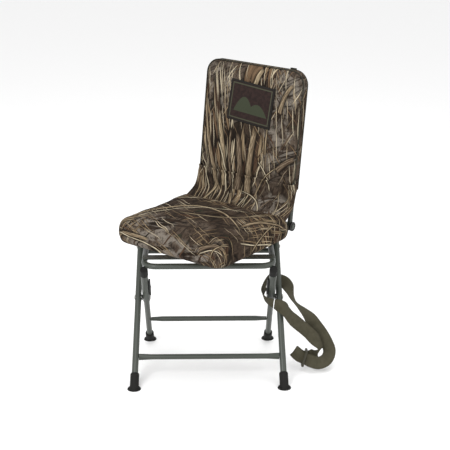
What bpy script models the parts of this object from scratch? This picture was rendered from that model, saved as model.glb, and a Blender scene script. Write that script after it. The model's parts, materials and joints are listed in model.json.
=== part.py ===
"""Folding swivel hunting chair: crossed steel legs, a padded seat on a swivel, and a hinged padded back.

Metres, +Z up. The legs are square to the axes with the front at -Y. The seat is turned on its swivel.
Each body hangs from an empty that sits on its joint's axis.
"""

import math

import bmesh
import bpy
from mathutils import Matrix, Vector

# Running gap between neighbouring solids.
GAP = 0.0003
# The middle of the standing chair, without the strap, is put at the origin.
SHIFT = Vector((-0.0108, -0.0165, 0.0))

# Leg frames. Each leg is a line from its foot through the crossing to its top.
FOOT_Y = 0.1715
CROSS_Z = 0.218
FRONT_FOOT_X = 0.220
FRONT_TOP_X = 0.2065
REAR_LEG_X = 0.1875
TOP_Z = 0.343
FRONT_TUBE_R = 0.0095
REAR_TUBE_R = 0.0087
WALL = 0.0014
# How near a tube's flats come to its axis, as a share of its radius.
FLAT_SHARE = 0.97
LEAN = math.atan2(FOOT_Y, CROSS_Z)

# Feet.
FOOT_SOLE = 0.0035
FOOT_SOLE_RX = 0.020
FOOT_SOLE_RY = 0.0185
FOOT_SLEEVE_R = 0.0132
FOOT_SLEEVE_TOP = 0.031
TUBE_START = 0.0150

# Stretchers between the legs of each frame.
FRONT_STRETCHER_Z = 0.075
REAR_STRETCHER_Z = 0.109
STRETCHER_R = 0.0079

# Crossing rivets and the parts on the upper rear legs.
RIVET_R = 0.0040
RIVET_HEAD_R = 0.0075
RIVET_HEAD = 0.0030
SLEEVE_R = 0.0108
SLEEVE_LOW = -0.016
SLEEVE_HIGH = 0.136
SADDLE_HEIGHT = 0.030
SADDLE_R = 0.0118
GUARD_LENGTH = 0.085
GUARD_WIDTH = 0.014
GUARD_THICK = 0.0045
GUARD_MIDDLE = 0.062
GUARD_RIVET_R = 0.0050

# Seat frame, a U of tube that is open at the back.
FRAME_X = 0.1868
FRAME_Z = 0.358
FRAME_FRONT_Y = -0.1030
FRAME_BACK_Y = 0.1080
FRAME_TUBE_R = 0.0088
FRAME_BEND = 0.034
REAR_BAR_Y = 0.066
REAR_BAR_R = 0.0078
PIVOT_Y = TOP_Z * FOOT_Y / CROSS_Z - FOOT_Y
PIVOT_R = 0.0038
PIVOT_HEAD_R = 0.0056

# Swivel: cross straps, lower plate, ball race and upper plate.
STRAP_Y = 0.058
STRAP_WIDTH = 0.030
STRAP_THICK = 0.0035
PLATE = 0.165
PLATE_THICK = 0.0030
RACE_R = 0.062
RACE_TUBE_R = 0.0090
CENTRE_PIN_R = 0.0050

# Seat, in its own frame: X to the right, Y to the back, turned on the swivel.
SEAT_TURN = math.radians(-38.5)
PAN_HALF_X = 0.155
PAN_FRONT = -0.155
PAN_BACK = 0.140
PAN_THICK = 0.0150
CUSHION_HALF_X = 0.203
CUSHION_FRONT = -0.203
CUSHION_BACK = 0.162
CUSHION_TOP = 0.485
CUSHION_CORNER = 0.042
# The upper rear edge slopes down to this height, which leaves room for the backrest tubes to fold forward.
CUSHION_BACK_TOP = 0.432
CUSHION_SLOPE = math.radians(48)
CUSHION_EDGE = 0.024

# Backrest, in its own frame: X to the right, Y to the back, Z up along the recline, origin on the hinge.
HINGE_Y = 0.179
HINGE_Z = 0.430
RECLINE = math.radians(-7.5)
BACK_TUBE_X = 0.166
BACK_TUBE_R = 0.0075
BACK_TUBE_TOP = 0.440
BACK_BEND = 0.045
BACK_HALF_X = 0.1755
BACK_LOW = 0.108
BACK_HIGH = 0.456
BACK_CORNER = 0.040
PAD_FRONT = -0.024
PAD_BACK = -0.0080
PANEL_FRONT = 0.0080
PANEL_BACK = 0.0130
BOARD_THICK = 0.0100
LOWER_COVER_HALF_X = 0.160
LOWER_COVER_LOW = 0.056
BADGE_WIDTH = 0.160
BADGE_HEIGHT = 0.122
BADGE_THICK = 0.0012
BADGE_X = 0.006
BADGE_Z = 0.344
BADGE_TILT = math.radians(-4.5)
HINGE_PLATE_X = 0.1530
HINGE_PLATE = 0.0030
HINGE_DISC_R = 0.0140
HINGE_DISC = 0.0040

# Carry strap, 38 mm webbing: a loop round the right crossing that hangs beside the chair.
# Each point of its route is its middle, then the direction across its width.
WEBBING_HALF = 0.019
WEBBING_THICK = 0.0020
WEBBING_ROUTE = [
    ((0.1947, -0.0415, 0.2112), (0.00, -0.30, 0.90)),
    ((0.2076, -0.0460, 0.2085), (0.10, 0.10, 0.95)),
    ((0.2198, -0.0500, 0.2030), (0.30, 0.40, 0.80)),
    ((0.2310, -0.0500, 0.1890), (0.45, 0.70, 0.45)),
    ((0.2443, -0.0460, 0.1701), (0.50, 0.60, 0.50)),
    ((0.2597, -0.0430, 0.1537), (0.60, 0.30, 0.65)),
    ((0.2830, -0.0390, 0.1312), (0.66, 0.10, 0.76)),
    ((0.3045, -0.0420, 0.1118), (0.70, 0.10, 0.67)),
    ((0.3236, -0.0460, 0.0887), (0.70, 0.60, 0.15)),
    ((0.3349, -0.0510, 0.0703), (0.48, 0.82, -0.30)),
    ((0.3256, -0.0480, 0.0523), (0.25, 0.85, 0.30)),
    ((0.3066, -0.0515, 0.0450), (0.28, 0.12, 0.93)),
    ((0.2872, -0.0500, 0.0410), (0.22, 0.00, 0.97)),
    ((0.2715, -0.0490, 0.0480), (0.40, 0.00, 0.90)),
    ((0.2554, -0.0515, 0.0626), (0.50, 0.00, 0.86)),
    ((0.2710, -0.0570, 0.0478), (0.40, 0.00, 0.90)),
    ((0.2866, -0.0585, 0.0405), (0.22, 0.00, 0.97)),
    ((0.3075, -0.0730, 0.0368), (0.30, 0.30, 0.90)),
    ((0.3311, -0.0760, 0.0334), (0.00, 0.34, 0.94)),
    ((0.3538, -0.0600, 0.0384), (-0.62, 0.35, 0.60)),
    ((0.3643, -0.0340, 0.0522), (-0.95, 0.20, 0.10)),
    ((0.3569, -0.0220, 0.0744), (-0.95, 0.10, -0.33)),
    ((0.3400, -0.0130, 0.1036), (-0.86, 0.00, -0.53)),
    ((0.3183, -0.0070, 0.1329), (-0.80, 0.00, -0.64)),
    ((0.2924, -0.0060, 0.1643), (-0.49, -0.75, -0.15)),
    ((0.2646, 0.0000, 0.1920), (-0.20, -0.97, 0.20)),
    ((0.2505, 0.0080, 0.2120), (-0.25, -0.95, 0.00)),
    ((0.2430, 0.0200, 0.2280), (-0.30, -0.80, -0.30)),
    ((0.2360, 0.0350, 0.2415), (-0.25, -0.68, -0.65)),
    ((0.2220, 0.0460, 0.2500), (-0.10, -0.63, -0.75)),
    ((0.2030, 0.0470, 0.2530), (0.00, -0.62, -0.79)),
    ((0.1890, 0.0420, 0.2540), (0.05, -0.35, -0.90)),
    ((0.1765, 0.0280, 0.2500), (0.15, 0.10, -0.98)),
    ((0.1664, 0.0100, 0.2424), (0.20, 0.40, -0.88)),
    ((0.1614, -0.0030, 0.2322), (0.24, 0.52, -0.81)),
    ((0.1641, -0.0170, 0.2240), (0.20, 0.54, -0.81)),
    ((0.1748, -0.0300, 0.2171), (0.10, 0.55, -0.82)),
    ((0.1920, -0.0405, 0.2120), (0.00, 0.35, -0.90)),
]
SLIDER_AT = (0.2869, -0.0543, 0.0408)
SLIDER_TILT = math.radians(14)
SLIDER_SIZE = (0.007, 0.0255, 0.0520)
SLIDER_OPENING = (0.03, 0.0185, 0.0450)

PAINT = ("paint", (0.105, 0.118, 0.095), 0.45, 0.35)
RUBBER = ("rubber", (0.012, 0.012, 0.011), 0.75, 0.0)
BLACK_PLASTIC = ("black_plastic", (0.010, 0.010, 0.010), 0.5, 0.0)
ZINC = ("zinc", (0.42, 0.42, 0.40), 0.38, 0.9)
PLYWOOD = ("plywood", (0.30, 0.20, 0.11), 0.7, 0.0)
CAMO = ("camo_fabric", (0.105, 0.078, 0.052), 0.9, 0.0)
BACKING = ("backing_fabric", (0.022, 0.020, 0.017), 0.9, 0.0)
WEBBING = ("webbing", (0.100, 0.088, 0.055), 0.85, 0.0)
BADGE = ("badge_fabric", (0.030, 0.020, 0.014), 0.85, 0.0)

for old in list(bpy.data.objects):
    bpy.data.objects.remove(old, do_unlink=True)

parts = bpy.data.collections.new("blind_swivel_chair")
cutters = bpy.data.collections.new("cutters")
cutters.hide_render = True
bpy.context.scene.collection.children.link(parts)
bpy.context.scene.collection.children.link(cutters)


def material(spec):
    name, colour, roughness, metallic = spec
    found = bpy.data.materials.get(name)
    if found:
        return found
    made = bpy.data.materials.new(name)
    made.use_nodes = True
    shader = made.node_tree.nodes["Principled BSDF"]
    shader.inputs["Base Color"].default_value = (*colour, 1.0)
    shader.inputs["Roughness"].default_value = roughness
    shader.inputs["Metallic"].default_value = metallic
    return made


def empty(name, location, parent=None, rotation=(0.0, 0.0, 0.0)):
    holder = bpy.data.objects.new(name, None)
    holder.empty_display_size = 0.03
    holder.location = location
    holder.rotation_euler = rotation
    holder.parent = parent
    parts.objects.link(holder)
    return holder


def moved(x, y, z):
    return Matrix.Translation((x, y, z))


def add_object(name, data, spec, parent, matrix, collection=None):
    """Links an object that stands at this matrix within its parent's frame."""
    made = bpy.data.objects.new(name, data)
    if spec:
        data.materials.append(material(spec))
    (collection or parts).objects.link(made)
    made.parent = parent
    made.matrix_basis = matrix
    return made


def mesh_from(bm, name, sharp_degrees=35.0):
    """A mesh from this bmesh with its faces pointing out, shaded smooth between sharp edges."""
    bmesh.ops.recalc_face_normals(bm, faces=bm.faces)
    mesh = bpy.data.meshes.new(name)
    bm.to_mesh(mesh)
    bm.free()
    mesh.shade_smooth()
    mesh.set_sharp_from_angle(angle=math.radians(sharp_degrees))
    return mesh


def along(start, end):
    """The matrix that puts the origin at start and points Z at end."""
    start = Vector(start)
    turn = (Vector(end) - start).to_track_quat("Z", "Y")
    return Matrix.Translation(start) @ turn.to_matrix().to_4x4()


def sideways(place):
    """The matrix that turns Z to point along +X at this place."""
    return Matrix.Translation(Vector(place)) @ Matrix.Rotation(math.radians(90), 4, "Y")


def cylinder_mesh(name, radius, length, sides=20, second_radius=None, scale_y=1.0):
    """A solid cylinder or cone from z = 0 to z = length."""
    bm = bmesh.new()
    bmesh.ops.create_cone(
        bm,
        cap_ends=True,
        segments=sides,
        radius1=radius,
        radius2=radius if second_radius is None else second_radius,
        depth=length,
    )
    bmesh.ops.translate(bm, vec=(0, 0, length / 2), verts=bm.verts)
    bmesh.ops.scale(bm, vec=(1, scale_y, 1), verts=bm.verts)
    return mesh_from(bm, name)


def box_mesh(name, size, corner=0.0, edge=0.0, corner_steps=5, edge_steps=2):
    """A box on its own centre. Its upright edges are rounded by corner, and then all edges by edge."""
    bm = bmesh.new()
    bmesh.ops.create_cube(bm, size=1.0)
    bmesh.ops.scale(bm, vec=size, verts=bm.verts)
    if corner:
        upright = [e for e in bm.edges if abs((e.verts[0].co - e.verts[1].co).z) > size[2] / 2]
        bmesh.ops.bevel(bm, geom=upright, offset=corner, segments=corner_steps, profile=0.5, affect="EDGES")
    if edge:
        level = [e for e in bm.edges if abs((e.verts[0].co - e.verts[1].co).z) < size[2] / 2]
        rims = [e for e in level if abs(abs(e.verts[0].co.z) - size[2] / 2) < 1e-6]
        bmesh.ops.bevel(bm, geom=rims, offset=edge, segments=edge_steps, profile=0.5, affect="EDGES")
    return mesh_from(bm, name)


def turned_mesh(name, profile, sides=24):
    """A solid of revolution about Z from (radius, z) points that start and end on the axis."""
    bm = bmesh.new()
    rings = []
    for radius, z in profile:
        if radius < 1e-9:
            rings.append([bm.verts.new((0, 0, z))])
            continue
        turns = [2 * math.pi * k / sides for k in range(sides)]
        rings.append([bm.verts.new((radius * math.cos(a), radius * math.sin(a), z)) for a in turns])
    for low, high in zip(rings, rings[1:]):
        for k in range(sides):
            nxt = (k + 1) % sides
            corners = [low[k % len(low)], low[nxt % len(low)], high[nxt % len(high)], high[k % len(high)]]
            bm.faces.new(list(dict.fromkeys(corners)))
    return mesh_from(bm, name)


def lofted_mesh(name, rings, sides=16):
    """A solid along X through elliptical rings of (x, half depth in Y, half height in Z)."""
    bm = bmesh.new()
    loops = []
    for x, half_y, half_z in rings:
        turns = [2 * math.pi * k / sides for k in range(sides)]
        loops.append([bm.verts.new((x, half_y * math.cos(a), half_z * math.sin(a))) for a in turns])
    for low, high in zip(loops, loops[1:]):
        for k in range(sides):
            nxt = (k + 1) % sides
            bm.faces.new((low[k], low[nxt], high[nxt], high[k]))
    bm.faces.new(loops[0])
    bm.faces.new(loops[-1])
    return mesh_from(bm, name)


def outline_mesh(name, outline, thickness):
    """A flat plate of this thickness: the outline's points are (y, z), and it is centred on x = 0."""
    bm = bmesh.new()
    face = bm.faces.new([bm.verts.new((-thickness / 2, y, z)) for y, z in outline])
    side = bmesh.ops.extrude_face_region(bm, geom=[face])
    moved = [v for v in side["geom"] if isinstance(v, bmesh.types.BMVert)]
    bmesh.ops.translate(bm, vec=(thickness, 0, 0), verts=moved)
    return mesh_from(bm, name)


def tube_mesh(name, points, radius, wall=None, resolution=7):
    """A tube with open ends along these points, or a solid rod if it has no wall."""
    curve = bpy.data.curves.new(name, "CURVE")
    curve.dimensions = "3D"
    curve.bevel_depth = radius
    curve.bevel_resolution = resolution
    spline = curve.splines.new("POLY")
    spline.points.add(len(points) - 1)
    for point, place in zip(spline.points, points):
        point.co = (*place, 1.0)
    holder = bpy.data.objects.new(name, curve)
    bpy.context.scene.collection.objects.link(holder)
    if wall:
        shell = holder.modifiers.new("wall", "SOLIDIFY")
        shell.thickness = wall
        shell.offset = -1.0
    else:
        curve.use_fill_caps = True
    graph = bpy.context.evaluated_depsgraph_get()
    mesh = bpy.data.meshes.new_from_object(holder.evaluated_get(graph))
    bpy.data.objects.remove(holder, do_unlink=True)
    bpy.data.curves.remove(curve)
    bm = bmesh.new()
    bm.from_mesh(mesh)
    bmesh.ops.remove_doubles(bm, verts=bm.verts, dist=1e-6)
    bpy.data.meshes.remove(mesh)
    return mesh_from(bm, name)


def rounded_route(corners, radius, steps=6):
    """The corner points with each inner corner replaced by an arc of this radius."""
    corners = [Vector(c) for c in corners]
    route = [corners[0]]
    for before, corner, after in zip(corners, corners[1:], corners[2:]):
        to_before = (before - corner).normalized()
        to_after = (after - corner).normalized()
        half = to_before.angle(to_after) / 2
        reach = radius / math.tan(half)
        centre = corner + (to_before + to_after).normalized() * (radius / math.sin(half))
        first = corner + to_before * reach - centre
        sweep = math.pi - 2 * half
        axis = first.cross(corner + to_after * reach - centre).normalized()
        for k in range(steps + 1):
            route.append(centre + Matrix.Rotation(sweep * k / steps, 3, axis) @ first)
    route.append(corners[-1])
    return route


def cut(target, tool_mesh, matrix, name):
    """Takes the tool's shape, placed in the target's parent frame, out of the target."""
    tool = add_object(name, tool_mesh, None, target.parent, matrix, cutters)
    tool.hide_render = True
    tool.display_type = "WIRE"
    step = target.modifiers.new(name, "BOOLEAN")
    step.operation = "DIFFERENCE"
    step.object = tool
    return tool


def join_shape(target, tool_mesh, matrix, name, operation="UNION"):
    """Adds the tool's shape to the target, or keeps only what they share."""
    tool = cut(target, tool_mesh, matrix, name)
    target.modifiers[name].operation = operation
    return tool


def side_name(side):
    return "left" if side < 0 else "right"


def on_front_leg(side, z):
    """A front leg's axis at this height: it leans back and inwards going up."""
    inwards = (FRONT_FOOT_X - FRONT_TOP_X) * z / TOP_Z
    return Vector((side * (FRONT_FOOT_X - inwards), -FOOT_Y + z * math.tan(LEAN), z))


def on_rear_leg(side, z):
    """A rear leg's axis at this height: it leans forwards going up."""
    return Vector((side * REAR_LEG_X, FOOT_Y - z * math.tan(LEAN), z))


origin = empty("chair_origin", SHIFT)
rear_pivot = empty("rear_legs_pivot", (0, 0, CROSS_Z), origin)
frame_pivot = empty("seat_frame_pivot", (0, PIVOT_Y, TOP_Z), origin)
swivel = empty("seat_swivel", (0, -PIVOT_Y, FRAME_Z - TOP_Z), frame_pivot, (0, 0, SEAT_TURN))
hinge = empty("backrest_hinge", (0, HINGE_Y, HINGE_Z - FRAME_Z), swivel, (RECLINE, 0, 0))
IDENTITY = Matrix.Identity(4)
UPRIGHT = Matrix.Rotation(math.radians(90), 4, "X")
TO_REAR = moved(0, 0, -CROSS_Z)
TO_FRAME = moved(0, -PIVOT_Y, -TOP_Z)
TO_SEAT = moved(0, 0, -FRAME_Z)


def straight_leg(name, low, high, radius, parent, to_parent):
    place = to_parent @ along(low, high)
    length = (Vector(high) - Vector(low)).length
    mesh = tube_mesh(name, [(0, 0, 0), (0, 0, length)], radius, WALL)
    return add_object(name, mesh, PAINT, parent, place)


def bore(target, place, radius, to_parent, name, reach=0.03):
    """A hole along X through the target, centred on this place."""
    start = Vector(place) - Vector((reach, 0, 0))
    tool = cylinder_mesh(name, radius + GAP, 2 * reach, 16)
    cut(target, tool, to_parent @ sideways(start), name)


def foot(name, on_leg, side, tube_radius, parent, to_parent):
    """A rubber foot: a sleeve along the leg on an oval sole that lies flat on the ground."""
    bottom = on_leg(side, 0.0)
    axis = (on_leg(side, TOP_Z) - bottom).normalized()
    level = to_parent @ Matrix.Translation(bottom)
    sole = cylinder_mesh(name, FOOT_SOLE_RX, FOOT_SOLE, 28, FOOT_SOLE_RX * 0.93, FOOT_SOLE_RY / FOOT_SOLE_RX)
    made = add_object(name, sole, RUBBER, parent, level)
    below = bottom - axis * 0.03
    sleeve_top = (FOOT_SLEEVE_TOP + 0.03) / axis.z
    sleeve = turned_mesh(
        name + "_sleeve",
        [
            (0, 0),
            (FOOT_SLEEVE_R, 0),
            (FOOT_SLEEVE_R, sleeve_top - 0.004),
            (FOOT_SLEEVE_R - 0.0025, sleeve_top),
            (0, sleeve_top),
        ],
        20,
    )
    join_shape(made, sleeve, to_parent @ along(below, bottom), name + "_sleeve")
    floor_box = box_mesh(name + "_floor", (0.2, 0.2, 0.1))
    cut(made, floor_box, level @ moved(0, 0, -0.05), name + "_floor")
    start = on_leg(side, TUBE_START) - axis * GAP
    socket = cylinder_mesh(name + "_socket", tube_radius + GAP, 0.1, 20)
    cut(made, socket, to_parent @ along(start, start + axis), name + "_socket")
    return made


def plug(name, on_leg, side, top_z, radius, parent, to_parent):
    """A domed plastic cap that closes a tube's upper end."""
    top = on_leg(side, top_z)
    axis = (top - on_leg(side, 0.0)).normalized()
    stem = (radius - WALL) * FLAT_SHARE - GAP
    profile = [
        (0, -0.010),
        (stem, -0.010),
        (stem, GAP),
        (radius, GAP),
        (radius, 0.002),
        (radius * 0.8, 0.0042),
        (0, 0.005),
    ]
    mesh = turned_mesh(name, profile, 20)
    return add_object(name, mesh, BLACK_PLASTIC, parent, to_parent @ along(top, top + axis))


def rivet(name, start_x, end_x, y, z, parent, to_parent, side, radius=RIVET_R, head=RIVET_HEAD_R):
    """A rivet along X: its shank runs between two domed heads that sit outside start_x and end_x."""
    length = end_x - start_x
    profile = [
        (0, -RIVET_HEAD),
        (head * 0.6, -RIVET_HEAD * 0.85),
        (head, -RIVET_HEAD * 0.3),
        (head, 0),
        (radius, 0),
        (radius, length),
        (head, length),
        (head, length + RIVET_HEAD * 0.3),
        (head * 0.6, length + RIVET_HEAD * 0.85),
        (0, length + RIVET_HEAD),
    ]
    mesh = turned_mesh(name, profile, 16)
    place = moved(side * start_x, y, z) @ Matrix.Rotation(math.radians(90 * side), 4, "Y")
    return add_object(name, mesh, ZINC, parent, to_parent @ place)


def build_front_legs():
    for side in (-1, 1):
        tag = side_name(side)
        top_z = TOP_Z + 0.012
        low, top = on_front_leg(side, TUBE_START), on_front_leg(side, top_z)
        leg = straight_leg("front_leg_" + tag, low, top, FRONT_TUBE_R, origin, IDENTITY)
        crossing = on_front_leg(side, CROSS_Z)
        bore(leg, crossing, RIVET_R, IDENTITY, "front_crossing_bore_" + tag)
        bore(leg, on_front_leg(side, TOP_Z), PIVOT_R, IDENTITY, "front_pivot_bore_" + tag)
        foot("front_foot_" + tag, on_front_leg, side, FRONT_TUBE_R, origin, IDENTITY)
        plug("front_leg_cap_" + tag, on_front_leg, side, top_z, FRONT_TUBE_R, origin, IDENTITY)
        inner = REAR_LEG_X - SLEEVE_R - GAP
        outer = abs(crossing.x) + FRONT_TUBE_R + GAP
        rivet("crossing_rivet_" + tag, inner, outer, 0.0, CROSS_Z, origin, IDENTITY, side)
        low = REAR_LEG_X + SLEEVE_R + GAP
        high = abs(crossing.x) - FRONT_TUBE_R - GAP
        spacer = cylinder_mesh("crossing_spacer_" + tag, 0.0085, high - low, 20)
        place = sideways((side * low if side > 0 else -high, 0, CROSS_Z))
        washer = add_object("crossing_spacer_" + tag, spacer, BLACK_PLASTIC, origin, place)
        bore(washer, (side * (low + high) / 2, 0, CROSS_Z), RIVET_R, IDENTITY, "spacer_bore_" + tag)
    half = abs(on_front_leg(1, FRONT_STRETCHER_Z).x) - FRONT_TUBE_R - GAP
    rings = [(half, 0.0060, 0.0105), (half - 0.016, 0.0072, 0.0092), (half - 0.036, STRETCHER_R, STRETCHER_R)]
    mesh = lofted_mesh("front_stretcher", [(-x, y, z) for x, y, z in rings] + rings[::-1])
    place = moved(0, on_front_leg(1, FRONT_STRETCHER_Z).y, FRONT_STRETCHER_Z)
    add_object("front_stretcher", mesh, PAINT, origin, place)


def build_rear_legs():
    leg_axis = (on_rear_leg(1, TOP_Z) - on_rear_leg(1, 0.0)).normalized()
    for side in (-1, 1):
        tag = side_name(side)
        crossing = on_rear_leg(side, CROSS_Z)
        top = crossing + leg_axis * (SLEEVE_HIGH + 0.014)
        low = on_rear_leg(side, TUBE_START)
        leg = straight_leg("rear_leg_" + tag, low, top, REAR_TUBE_R, rear_pivot, TO_REAR)
        bore(leg, crossing, RIVET_R, TO_REAR, "rear_crossing_bore_" + tag)
        foot("rear_foot_" + tag, on_rear_leg, side, REAR_TUBE_R, rear_pivot, TO_REAR)
        low = crossing + leg_axis * SLEEVE_LOW
        high = crossing + leg_axis * SLEEVE_HIGH
        inner = REAR_TUBE_R + GAP
        line = [(0, 0, 0), (0, 0, SLEEVE_HIGH - SLEEVE_LOW)]
        sleeve = tube_mesh("rear_leg_sleeve_" + tag, line, SLEEVE_R, SLEEVE_R - inner)
        sleeve = add_object("rear_leg_sleeve_" + tag, sleeve, PAINT, rear_pivot, TO_REAR @ along(low, high))
        bore(sleeve, crossing, RIVET_R, TO_REAR, "sleeve_bore_" + tag)
        build_saddle(side, high, leg_axis)
        build_guard(side, crossing, leg_axis)
    half = REAR_LEG_X - REAR_TUBE_R - GAP
    rings = [(half, 0.0095, 0.0052), (half - 0.014, 0.0088, 0.0062), (half - 0.034, STRETCHER_R, STRETCHER_R)]
    mesh = lofted_mesh("rear_stretcher", [(-x, y, z) for x, y, z in rings] + rings[::-1])
    place = TO_REAR @ moved(0, on_rear_leg(1, REAR_STRETCHER_Z).y, REAR_STRETCHER_Z)
    add_object("rear_stretcher", mesh, PAINT, rear_pivot, place)


def build_saddle(side, base, leg_axis):
    """A rubber saddle on the rear leg's top, hollowed where the seat frame's front corner rests."""
    name = "saddle_cap_" + side_name(side)
    start = base + leg_axis * GAP
    profile = [
        (0, 0),
        (SADDLE_R, 0),
        (SADDLE_R, SADDLE_HEIGHT - 0.004),
        (SADDLE_R - 0.0013, SADDLE_HEIGHT),
        (0, SADDLE_HEIGHT),
    ]
    cap = turned_mesh(name, profile, 20)
    cap = add_object(name, cap, RUBBER, rear_pivot, TO_REAR @ along(start, start + leg_axis))
    socket = cylinder_mesh(name + "_socket", REAR_TUBE_R + GAP, 0.0145, 20)
    below = start - leg_axis * 0.0005
    cut(cap, socket, TO_REAR @ along(below, start), name + "_socket")
    corner = [
        (side * (FRAME_X - 0.08), FRAME_FRONT_Y, FRAME_Z),
        (side * FRAME_X, FRAME_FRONT_Y, FRAME_Z),
        (side * FRAME_X, FRAME_FRONT_Y + 0.08, FRAME_Z),
    ]
    groove = tube_mesh(name + "_groove", rounded_route(corner, FRAME_BEND), FRAME_TUBE_R + 2 * GAP)
    cut(cap, groove, TO_REAR, name + "_groove")


def build_guard(side, crossing, leg_axis):
    """A black pinch guard on the inner side of the upper rear leg, held by one rivet."""
    name = "pinch_guard_" + side_name(side)
    middle = crossing + leg_axis * GUARD_MIDDLE
    face_x = REAR_LEG_X - SLEEVE_R - GAP - GUARD_THICK / 2
    place = moved(side * face_x, middle.y, middle.z)
    across = Vector((1, 0, 0))
    forward = leg_axis.cross(across).normalized()
    turn = Matrix((across, forward, leg_axis)).transposed().to_4x4()
    shape = box_mesh(name, (GUARD_THICK, GUARD_WIDTH, GUARD_LENGTH))
    bm = bmesh.new()
    bm.from_mesh(shape)
    edges = [e for e in bm.edges if abs((e.verts[0].co - e.verts[1].co).x) > GUARD_THICK / 2]
    bmesh.ops.bevel(bm, geom=edges, offset=GUARD_WIDTH * 0.45, segments=5, profile=0.5, affect="EDGES")
    shape = mesh_from(bm, name)
    add_object(name, shape, BLACK_PLASTIC, rear_pivot, TO_REAR @ place @ turn)
    profile = [(0, 0), (GUARD_RIVET_R, 0), (GUARD_RIVET_R - 0.0005, 0.0014), (0, 0.0022)]
    head = turned_mesh("guard_rivet_" + side_name(side), profile, 14)
    start = Vector((side * (face_x - GUARD_THICK / 2 - GAP), middle.y, middle.z))
    inward = along(start, start - Vector((side, 0, 0)))
    add_object("guard_rivet_" + side_name(side), head, ZINC, rear_pivot, TO_REAR @ inward)


def build_seat_frame():
    """The U of tube that carries the swivel, its ears and bolts on the front legs, and its rear bar."""
    corners = [
        (-FRAME_X, FRAME_BACK_Y, FRAME_Z),
        (-FRAME_X, FRAME_FRONT_Y, FRAME_Z),
        (FRAME_X, FRAME_FRONT_Y, FRAME_Z),
        (FRAME_X, FRAME_BACK_Y, FRAME_Z),
    ]
    mesh = tube_mesh("seat_frame_tube", rounded_route(corners, FRAME_BEND), FRAME_TUBE_R, WALL)
    add_object("seat_frame_tube", mesh, PAINT, frame_pivot, TO_FRAME)
    for side in (-1, 1):
        tag = side_name(side)
        ear = [
            (PIVOT_Y - 0.016, FRAME_Z - FRAME_TUBE_R - GAP),
            (PIVOT_Y - 0.011, TOP_Z - 0.006),
            (PIVOT_Y - 0.006, TOP_Z - 0.0105),
            (PIVOT_Y, TOP_Z - 0.0120),
            (PIVOT_Y + 0.006, TOP_Z - 0.0105),
            (PIVOT_Y + 0.011, TOP_Z - 0.006),
            (PIVOT_Y + 0.016, FRAME_Z - FRAME_TUBE_R - GAP),
        ]
        plate = outline_mesh("pivot_ear_" + tag, ear, 0.0060)
        ear_x = FRONT_TOP_X - FRONT_TUBE_R - 0.0010 - 0.0030
        plate = add_object("pivot_ear_" + tag, plate, PAINT, frame_pivot, TO_FRAME @ moved(side * ear_x, 0, 0))
        bore(plate, (side * ear_x, PIVOT_Y, TOP_Z), PIVOT_R, TO_FRAME, "ear_bore_" + tag)
        start = ear_x - 0.0030 - GAP
        end = FRONT_TOP_X + FRONT_TUBE_R + GAP
        rivet("pivot_bolt_" + tag, start, end, 0, 0, frame_pivot, IDENTITY, side, PIVOT_R, PIVOT_HEAD_R)
    half = FRAME_X
    ends = [(-half, REAR_BAR_R, REAR_BAR_R), (half, REAR_BAR_R, REAR_BAR_R)]
    bar = lofted_mesh("seat_frame_rear_bar", ends)
    bar_z = FRAME_Z - FRAME_TUBE_R - REAR_BAR_R - GAP
    add_object("seat_frame_rear_bar", bar, PAINT, frame_pivot, TO_FRAME @ moved(0, REAR_BAR_Y, bar_z))


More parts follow.
